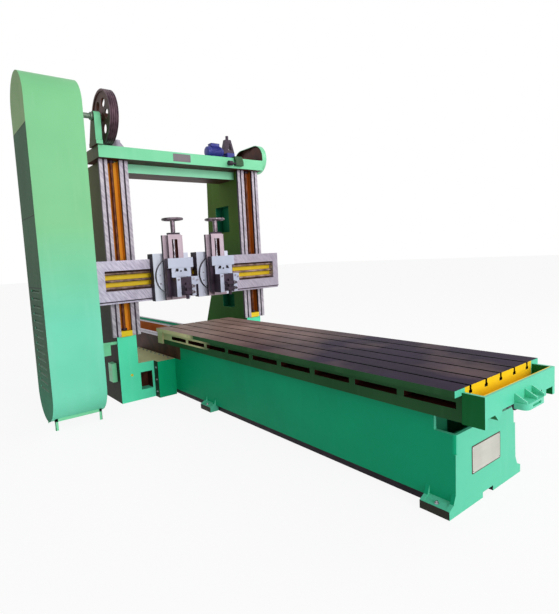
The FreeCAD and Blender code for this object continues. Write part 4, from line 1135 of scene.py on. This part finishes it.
@dataclass
class Guard(Part):
    """The belt guard's louvre blades, frame, tie and switch."""

    louvre_count: int = 14
    louvre_pitch: float = 86
    louvre_low: float = 445
    louvre_half: float = 190
    louvre_high: float = 26
    louvre_lean: float = 20
    iron_wide: float = 30
    iron_thick: float = 5
    rail_high: float = 34
    side_rail_low: float = 10
    plate_x: Span = (-1345, -1252)
    bolt_x: Span = (-1325, -1272)

    def build(self) -> None:
        """Dresses the guard's nodes and adds its small parts."""
        sheet = self.paint.guard()
        dress("guard_band", sheet)
        dress("guard_sides", sheet)
        dress("switch_box", self.paint.mint)
        self.louvres()
        self.stand()
        self.switch()
        self.tie()

    def louvres(self) -> None:
        """Slanted blades behind the louvre slots."""
        left, middle = Box.of("guard_sides").low.x, Box.of("guard_band").middle.y
        blade = add_block((left + 1, middle - self.louvre_half, self.louvre_low),
                          (left + 4, middle + self.louvre_half,
                           self.louvre_low + self.louvre_high))
        with editing(blade, towards(Axis.Z)):
            bpy.ops.transform.translate(value=(self.louvre_lean * MM, 0, 0))
        soften(blade, 0.8, 1)
        row(blade, self.louvre_count, self.louvre_pitch)
        hand_in(blade, "guard_louvre_blades", self.paint.louvre)

    def tie(self) -> None:
        """The bar from the guard to the column, with a hanging plate bolted behind it."""
        low, high = Box.of("guard_tie")
        left, right = self.plate_x
        bar = soften(add_block((low.x, low.y, high.z - 37), high), 3)
        plate = soften(add_block((left, low.y + 8, low.z), (right, low.y + 16, high.z - 20)),
                       2, 1)
        bolts = copies(hex_bolt(9, 7), [in_front(x, low.y + 8, high.z - 60)
                                        for x in self.bolt_x])
        hand_in(joined(bar, plate, bolts), "guard_tie_bar", self.paint.mint,
                stands_for="guard_tie")

    def stand(self) -> None:
        """Four angle-iron legs under a frame that holds the guard's round foot."""
        (left, front, low), (right, back, top) = Box.of("guard_stand")
        wide, thick, rail = self.iron_wide, self.iron_thick, top - self.rail_high
        leg = joined(add_block((0, 0, low), (wide, thick, top)),
                     add_block((0, 0, low), (thick, wide, top)))
        corners = ((left, front), (right, front), (right, back), (left, back))
        legs = copies(leg, [at(x, y, 0, spin=90 * index)
                            for index, (x, y) in enumerate(corners)])
        rails = [add_block((left, y, rail), (right, y + thick, top))
                 for y in (front, back - thick)]
        rails += [add_block((x, front, rail), (x + thick, back, top - self.side_rail_low))
                  for x in (left, right - thick)]
        hand_in(joined(legs, *rails), "guard_stand_frame", self.paint.mint,
                stands_for="guard_stand")

    def switch(self) -> None:
        """The switch box's lid, its seam and two round buttons."""
        low, high = Box.of("switch_box")
        lid = add_block((low.x, low.y + 8, low.z + 8), (low.x + 6, high.y - 8, high.z - 8))
        hand_in(sink(lid, 8, 2, towards(Axis.X, -1)), "switch_box_lid", self.paint.mint)
        middle = (low + high) / 2
        button = soften(add_rod(Axis.Z, 11, (0, 0, 0), 5, 20), 1.5)
        places = [at(low.x + 5, middle.y, middle.z + rise, Axis.X, -1) for rise in (34, -20)]
        hand_in(copies(button, places), "switch_buttons", self.paint.yellow)


@dataclass
class BedAndTable(Part):
    """Finishes, plates, bolts and fittings of the bed and the table."""

    plate_x: Span = (-225, 186)
    plate_z: Span = (225, 430)
    rim: float = 7
    pad_x: float = 488
    pad_y: tuple[float, ...] = (-4090, -1000, 3718)
    stud_count: int = 8
    bracket_x: Span = (-138, 144)
    bracket_z: Span = (742, 786)
    bracket_reach: float = 86
    rib_x: tuple[float, ...] = (-131, 20, 130)

    def build(self) -> None:
        """Dresses the bed and table and adds their small parts."""
        for node in ("bed", "bed_ways", "bed_shoulders", "bed_end_trays"):
            dress(node, self.paint.bed(node))
        dress("table", self.paint.table())
        dress("table_troughs", self.paint.troughs())
        dress("table_rack", self.paint.dark)
        self.rack_bracket()
        self.end_plate()
        self.fasteners()
        self.oil_sights()

    def rack_bracket(self) -> None:
        """The bracket at the end of the rack: a round-cornered foot, a slot and three ribs."""
        box = Box.of("rack_bracket")
        wall, top = box.high.y, box.high.z
        (left, right), (low, floor) = self.bracket_x, self.bracket_z
        front = wall - self.bracket_reach
        foot = soften(add_block((left, front, low), (right, wall, floor)), 40, 6,
                      lambda middle, way: abs(way.z) > SQUARE and middle.y < (front + 1) * MM)
        cut_away(foot, soften(add_block((-60, front - 10, 754), (70, front + 16, 772)), 6, 3,
                              running(Axis.Y)))
        rib = add_block((0, front + 6, floor - 2), (13, wall, top))
        with editing(rib, lambda middle, way: abs(way.x) > SQUARE
                    and middle.y < (front + 7) * MM and middle.z > floor * MM, "EDGE"):
            bpy.ops.transform.translate(value=(0, 0, (floor + 14 - top) * MM))
        ribs = copies(soften(rib, 1.5), [at(x, 0, 0) for x in self.rib_x])
        hand_in(joined(foot, ribs), "rack_bracket_cast", self.paint.cool, "table_body",
                "rack_bracket")

    def end_plate(self) -> None:
        """The bare plate on the near end of the bed, with a rim and four screws."""
        front = Box.of("bed").low.y
        (left, right), (low, high), rim = self.plate_x, self.plate_z, self.rim
        border = add_block((left, front - 2, low), (right, front, high))
        hand_in(soften(border, 10, 3, running(Axis.Y)), "bed_plate_rim", self.paint.border)
        plate = soften(add_block((left + rim, front - 3, low + rim),
                                 (right - rim, front - 1, high - rim)), 6, 3, running(Axis.Y))
        hand_in(sink(plate, 5, 0.6, towards(Axis.Y, -1)), "bed_end_plate", self.paint.plate)
        corners = [in_front(x, front - 2, z) for x in (left + 16, right - 16)
                   for z in (low + 16, high - 16)]
        hand_in(copies(socket_screw(5, 3), corners), "bed_plate_screws", self.paint.bright)

    def fasteners(self) -> None:
        """Studs on the bed's feet and shoulders, and bolts on the shoulders' outer faces."""
        sides = (-1, 1)
        face = Box.of("bed_shoulders").high.x
        for name, model, places in (
            ("foundation_bolts", stud_nut(10, 26),
             [at(side * self.pad_x, y, 60) for side in sides for y in self.pad_y]),
            ("shoulder_studs", stud_nut(7, 20),
             [at(side * 480, 40 + index * 140, 500) for side in sides
              for index in range(self.stud_count)]),
            ("shoulder_bolts", hex_bolt(20, 14),
             [at(side * face, -30, z, Axis.X, side) for side in sides for z in (81, 247, 413)]),
        ):
            hand_in(copies(model, places), name, self.paint.bright)

    def oil_sights(self) -> None:
        """A ringed oil sight on each column's foot."""
        ring = lathe([(0, 10), (0, 17), (5, 17), (5, 10)], Axis.Z, (0, 0, 0), 28)
        glass = soften(add_rod(Axis.Z, 10, (0, 0, 0), 3, 20), 1, 1)
        hand_in(copies(joined(ring, glass), [in_front(x, 40, 356) for x in (-1010, 1010)]),
                "oil_sights", self.paint.yellow)


@dataclass
class Arch(Part):
    """Columns, slideways, lift screws, beam and tie."""

    pitch: float = 14
    crest: float = 23
    root: float = 18.5
    gear: tuple[Span, ...] = ((0, 0), (0, 84), (14, 88), (24, 86), (82, 44), (104, 42),
                              (108, 38), (108, 0))
    gear_place: Span = (-962, 40)
    plate_x: Span = (-252, 12)

    def build(self) -> None:
        """Dresses the arch and adds its screws, bearings and bolts."""
        for side in Side:
            dress(f"{side.value}_column", self.paint.column(side))
        dress("slideways", self.paint.slideways())
        dress("screw_blocks", self.paint.yellow)
        dress("top_beam", self.paint.flanked("top_beam_finish", MINT))
        self.lift_screws()
        # The tie's brighter mint is painted light against the beam's shadow.
        dress("arch_tie", self.paint.flanked("arch_tie_finish", TIE_MINT_LIT))
        self.beam_parts()

    def lift_screws(self) -> None:
        """Threaded screws in place of the plain ones, with a collar at each end."""
        box = Box.of("lift_screws")
        low, high, y = box.low.z, box.high.z, box.middle.y
        reach = box.high.x - self.crest
        screws = [threaded(self.root, self.crest, self.pitch, Vector((x, y, low)), high - low, 18)
                  for x in (-reach, reach)]
        hand_in(joined(*screws), "lift_screw_threads", self.paint.screw,
                stands_for="lift_screws")
        collars = [soften(add_rod(Axis.Z, 36, (x, y, level), 26), 3)
                   for x in (-reach, reach) for level in (low + 4, high - 30)]
        hand_in(joined(*collars), "screw_collars", self.paint.dark)

    def beam_parts(self) -> None:
        """The bare plate on the beam, its bolts, and the bevel gear beside the flywheel."""
        low, high = Box.of("top_beam")
        (left, right), top = self.plate_x, high.z
        plate = soften(add_block((left, low.y - 3, low.z + 26), (right, low.y, top - 20)), 8, 2,
                       running(Axis.Y))
        hand_in(sink(plate, 6, 1, towards(Axis.Y, -1)), "beam_plate", self.paint.beam_plate)
        places = [at(side * x, y, top) for side in (-1, 1) for x in (960, 1110)
                  for y in (230, 340)]
        hand_in(copies(hex_bolt(20, 18), places), "beam_bolts", self.paint.bright)
        gear = lathe([(top + rise, radius) for rise, radius in self.gear], Axis.Z,
                     (*self.gear_place, 0), 36)
        hand_in(gear, "lift_screw_gear", self.paint.ground)


@dataclass
class LiftDrive(Part):
    """The motor, gear case, yoke, control and belt cover on the beam."""

    rib_count: int = 26
    length: float = 276
    axis_rise: float = 108

    def build(self) -> None:
        """Dresses the drive and adds the motor's detail."""
        dress("lift_gearbox", self.paint.gear_case())
        dress("lift_guard", self.paint.belt_cover())
        dress("lift_shaft", self.paint.brown)
        dress("lift_control", self.paint.control())
        self.motor()
        boss = add_rod(Axis.X, 40, (Box.of("lift_guard").low.x + 70, 108,
                                    Box.of("lift_shaft").middle.z), 8)
        hand_in(soften(boss, 2, 1), "lift_guard_boss", self.paint.mint)

    def motor(self) -> None:
        """A ribbed motor with end bells, feet, a terminal box and its shaft."""
        box = Box.of("lift_motor")
        left, y, low = box.low.x, box.middle.y, box.low.z
        right, z = left + self.length, low + self.axis_rise
        bell = lathe([(left, 0), (left, 52), (left + 10, 70), (left + 34, 76), (left + 40, 82),
                      (left + 52, 82), (left + 52, 76), (right - 52, 76), (right - 52, 82),
                      (right - 40, 82), (right - 30, 74), (right - 6, 60), (right, 40),
                      (right, 0)], Axis.X, (0, y, z), 40)
        centre = Matrix.Translation(Vector((0, y, z)) * MM)
        turns = [centre @ Matrix.Rotation(math.tau * index / self.rib_count, 4, "X")
                 @ centre.inverted() for index in range(self.rib_count)]
        ribs = copies(add_block((left + 56, y - 2, z + 72), (right - 56, y + 2, z + 86)), turns)
        feet = [soften(add_block((x, y - 86, low), (x + 34, y + 86, low + 40)), 4, 1)
                for x in (left + 60, right - 94)]
        middle = (left + right) / 2
        terminal = soften(add_block((middle - 72, y - 48, z + 70),
                                    (middle + 72, y + 48, z + 112)), 6)
        lid = soften(add_block((middle - 75, y - 50, z + 112),
                               (middle + 75, y + 50, z + 117)), 2, 1)
        start = right - 10
        shaft = add_rod(Axis.X, 18, (start, y, Box.of("lift_shaft").middle.z),
                        Box.of("lift_gearbox").low.x + 29 - start, 20)
        hand_in(joined(bell, ribs, *feet, terminal, lid), "lift_motor_ribbed", self.paint.blue,
                stands_for="lift_motor")
        hand_in(shaft, "lift_motor_shaft", Paint(self.paint.dark.material, "dark_iron"))


@dataclass
class Drive(Part):
    """The flywheel, its shaft and pedestal."""

    hole_count: int = 6
    hole_place: float = 180
    hole_radius: float = 56
    groove_count: int = 4
    groove: tuple[Span, ...] = ((3, 0), (9, -8), (15, -8), (21, 0))

    def build(self) -> None:
        """Dresses the drive and adds the wheel, its bolts and a collar."""
        self.wheel()
        dress("drive_shaft", self.paint.shaft)
        dress("wheel_pedestal", self.paint.flanked("pedestal_finish", MINT))
        (left, near, low), (right, far, _) = Box.of("wheel_pedestal")
        places = [at(x, y, low + 45) for x in (left + 20, right - 20)
                  for y in (near + 8, far - 8)]
        hand_in(copies(hex_bolt(9, 9), places), "pedestal_bolts", self.paint.bright)
        shaft = Box.of("drive_shaft").middle
        collar = add_rod(Axis.X, 48, (left - 30, shaft.y, shaft.z), 26, 28)
        hand_in(soften(collar, 3), "shaft_collar", self.paint.shaft, "wheel_body")

    def wheel(self) -> None:
        """A grooved rim on a pierced web that stands near its left face."""
        box = Box.of("flywheel")
        left, right, middle, radius = box.low.x, box.high.x, box.middle, box.size.z / 2
        pitch = (right - left - 8) / self.groove_count
        outline = [(left + 6, 0), (left + 6, 56), (left + 8, 58), (left + 12, 58),
                   (left + 12, radius - 36), (left + 2, radius - 34), (left, radius - 32),
                   (left, radius - 2), (left + 2, radius)]
        outline += [(left + 4 + index * pitch + along, radius + rise)
                    for index in range(self.groove_count) for along, rise in self.groove]
        outline += [(right - 2, radius), (right, radius - 2), (right, radius - 32),
                    (right - 2, radius - 34), (left + 26, radius - 36), (left + 26, 58),
                    (right - 8, 58), (right - 6, 56), (right - 6, 0)]
        wheel = lathe(outline, Axis.X, (0, middle.y, middle.z), 72)
        for index in range(self.hole_count):
            turn = math.tau * (index + 0.5) / self.hole_count
            centre = (left - 5, middle.y + self.hole_place * math.sin(turn),
                      middle.z + self.hole_place * math.cos(turn))
            cut_away(wheel, add_rod(Axis.X, self.hole_radius, centre, 60, 32))
        hand_in(wheel, "flywheel_grooved", Paint(self.paint.flywheel(), "dark_iron"),
                "wheel_body", "flywheel")


@dataclass
class Rail(Part):
    """The cross rail, its rods and end plates."""

    def build(self) -> None:
        """Dresses the rail and its rods."""
        dress("cross_rail", self.paint.rail())
        dress("rail_rods", self.paint.rod)
        dress("rail_rod_plate", self.paint.ground)


@dataclass
class Head(Part):
    """One tool head: disc bolts, feed screw, handwheel, clapper bolts and fittings."""

    side: Side
    rim_radius: float = 124
    rim_thick: float = 15.5
    disc_bolts: tuple[Span, ...] = ((-191, 1660), (-191, 1551), (191, 1700), (191, 1580),
                                    (-150, 1470), (150, 1470))
    apron_bolts: tuple[Span, ...] = ((-58, 1719), (58, 1719))
    apron_pin: tuple[Span, ...] = ((-6, 1704),)
    cheek_screws: tuple[Span, ...] = ((-105, 1600), (105, 1600), (119, 1500), (119, 1428),
                                      (150, 1580))
    clamp_nuts: tuple[Span, ...] = ((70, 1435), (70, 1511))

    def named(self, name: str) -> str:
        """The name of one of this head's pieces, nodes or bodies."""
        return f"{self.side.value}_{name}"

    def build(self) -> None:
        """Dresses the head and adds its small parts."""
        dress(self.named("saddle"), self.paint.saddle(self.side))
        dress(self.named("swivel"), self.paint.swivel(self.side))
        for node in ("tool_slide", "clapper_box"):
            dress(self.named(node), self.paint.slide(self.side, node))
        dress(self.named("clapper"), self.paint.dark)
        self.handwheel()
        self.feed_screw()
        self.fasteners()

    def handwheel(self) -> None:
        """A round rim on three tapered spokes, with a long hub."""
        box = Box.of(self.named("handwheel"))
        middle, top, low = box.middle, box.high.z, box.low.z
        level = top - 22
        release()
        bpy.ops.mesh.primitive_torus_add(
            location=Vector((middle.x, middle.y, level)) * MM, major_radius=self.rim_radius * MM,
            minor_radius=self.rim_thick * MM, major_segments=56, minor_segments=16)
        rim = settle()
        spoke = add_rod(Axis.X, 11, (0, 0, 0), self.rim_radius, 14)
        with editing(spoke, towards(Axis.X)):
            bpy.ops.transform.resize(value=(1, 0.72, 0.72),
                                     center_override=(self.rim_radius * MM, 0, 0))
        spokes = copies(spoke, [at(middle.x, middle.y, level, spin=turn)
                                for turn in (90, 210, 330)])
        hub = lathe([(low, 0), (low, 26), (low + 3, 29), (level - 60, 30), (level - 24, 30.5),
                     (level - 14, 31), (top - 2, 31), (top, 29), (top, 0)],
                    Axis.Z, (middle.x, middle.y, 0), 32)
        hand_in(joined(rim, spokes, hub), self.named("handwheel_turned"), self.paint.hand,
                self.named("handwheel_body"), self.named("handwheel"))

    def feed_screw(self) -> None:
        """The feed screw's thread in the guide's recess."""
        node = self.named("feed_screw")
        box = Box.of(node)
        screw = threaded(11, 14, 8, Vector((box.middle.x, box.middle.y, box.low.z)), box.size.z,
                         16)
        hand_in(screw, f"{node}_thread", self.paint.bright, self.named("handwheel_body"), node)

    def fasteners(self) -> None:
        """Bolts on the disc and apron, set screws on the cheeks and nuts on the clamp."""
        middle = Box.of(self.named("swivel")).middle.x
        disc, apron, cheek, clapper = (Box.of(self.named(node)).low.y for node in (
            "swivel", "tool_slide", "clapper_box", "clapper"))
        for name, model, face, places, paint, body in (
            ("disc_bolts", hex_bolt(15, 14), disc + 100, self.disc_bolts, self.paint.bright,
             "swivel_body"),
            ("apron_bolts", hex_bolt(28, 13), apron - 2, self.apron_bolts, self.paint.black,
             "slide_body"),
            ("apron_pin", hex_bolt(16, 11), apron - 2, self.apron_pin, self.paint.black,
             "slide_body"),
            ("cheek_screws", socket_screw(13, 12), cheek, self.cheek_screws,
             self.paint.bright, "slide_body"),
            ("clamp_nuts", stud_nut(12, 15), clapper + 24, self.clamp_nuts,
             self.paint.bright, "clapper_body"),
        ):
            bolts = copies(model, [in_front(middle + x, face, z) for x, z in places])
            hand_in(bolts, self.named(name), paint, self.named(body))


# Camera, floor and lamps


@dataclass
class Studio:
    """The photograph's camera, a pale floor and soft lamps."""

    place: tuple[float, float, float] = (-3248.3, -5842.5, 1842.4)
    heading: float = 37.13
    pitch: float = -5.41
    roll: float = -3.09
    lens: float = 27.15
    shift: Span = (0.0300, -0.0120)
    floor_glow: float = 0.9
    sky_light: float = 0.5
    aim: tuple[float, float, float] = (-0.2, -1.0, 1.5)
    lamps: tuple[tuple, ...] = (("front_lamp", (-1.0, -20.0, 6.0), 1500, 8.0),
                                ("right_lamp", (7.0, -6.0, 7.0), 200, 4.0))

    def build(self) -> None:
        """Sets the whole studio."""
        self.camera()
        self.floor()
        self.sky()
        self.light()

    def camera(self) -> None:
        """Puts the camera where the photograph was taken."""
        data = bpy.data.cameras.new("camera")
        camera = bpy.data.objects.new("camera", data)
        bpy.context.collection.objects.link(camera)
        camera.matrix_world = Matrix.Translation(Vector(self.place) * MM)
        for degrees, axis in ((-self.heading, "Z"), (90 + self.pitch, "X"), (self.roll, "Z")):
            camera.matrix_world @= Matrix.Rotation(math.radians(degrees), 4, axis)
        data.lens = self.lens
        data.sensor_fit = "VERTICAL"
        data.sensor_width = data.sensor_height = 36
        data.shift_x, data.shift_y = self.shift
        data.clip_end = 200
        bpy.context.scene.camera = camera

    def floor(self) -> None:
        """A wide pale floor that stays white to the camera and keeps the shadow."""
        release()
        bpy.ops.mesh.primitive_plane_add(size=120, location=(0, 0, -1 * MM))
        floor = settle()
        floor.name = "studio_floor"
        material = bpy.data.materials.new("floor_white")
        material.use_nodes = True
        graph = Graph(material.node_tree)
        matt = graph.node("ShaderNodeBsdfDiffuse", Color=hue("f2f2f2"))
        glow = graph.node("ShaderNodeEmission", Color=hue("ffffff"), Strength=1.0)
        share = graph.math("MULTIPLY", graph.seen(), self.floor_glow)
        mixed = graph.nodes.new("ShaderNodeMixShader")
        for socket, value in zip(mixed.inputs, (share, matt.outputs[0], glow.outputs[0])):
            graph.feed(socket, value)
        graph.end("ShaderNodeOutputMaterial", mixed.outputs[0])
        floor.data.materials.append(material)

    def sky(self) -> None:
        """A world that looks white and lights the machine with half its strength."""
        world = bpy.data.worlds.new("studio_world")
        bpy.context.scene.world = world
        world.use_nodes = True
        graph = Graph(world.node_tree)
        strength = graph.span(graph.seen(), 0.0, 1.0, self.sky_light, 1.0)
        sky = graph.node("ShaderNodeBackground", Color=hue("ffffff"), Strength=strength)
        graph.end("ShaderNodeOutputWorld", sky.outputs[0])

    def light(self) -> None:
        """Two broad soft lamps, aimed at the machine."""
        for name, place, power, size in self.lamps:
            data = bpy.data.lights.new(name, "AREA")
            data.energy = power
            data.size = size
            lamp = bpy.data.objects.new(name, data)
            bpy.context.collection.objects.link(lamp)
            lamp.location = place
            aim = Vector(self.aim) - lamp.location
            lamp.rotation_euler = aim.to_track_quat("-Z", "Y").to_euler()


def main() -> None:
    """Builds every sub-assembly in order, then the studio."""
    logging.basicConfig(level=logging.INFO, format="%(message)s")
    bpy.context.scene.view_settings.view_transform = "Standard"
    paint = Paintshop()
    for part in (Guard(paint), BedAndTable(paint), Arch(paint), LiftDrive(paint), Drive(paint),
                 Rail(paint), Head(paint, Side.LEFT), Head(paint, Side.RIGHT), Studio()):
        part.build()
        log.info("%s done", type(part).__name__)
    release()


if __name__ == "__main__":
    main()
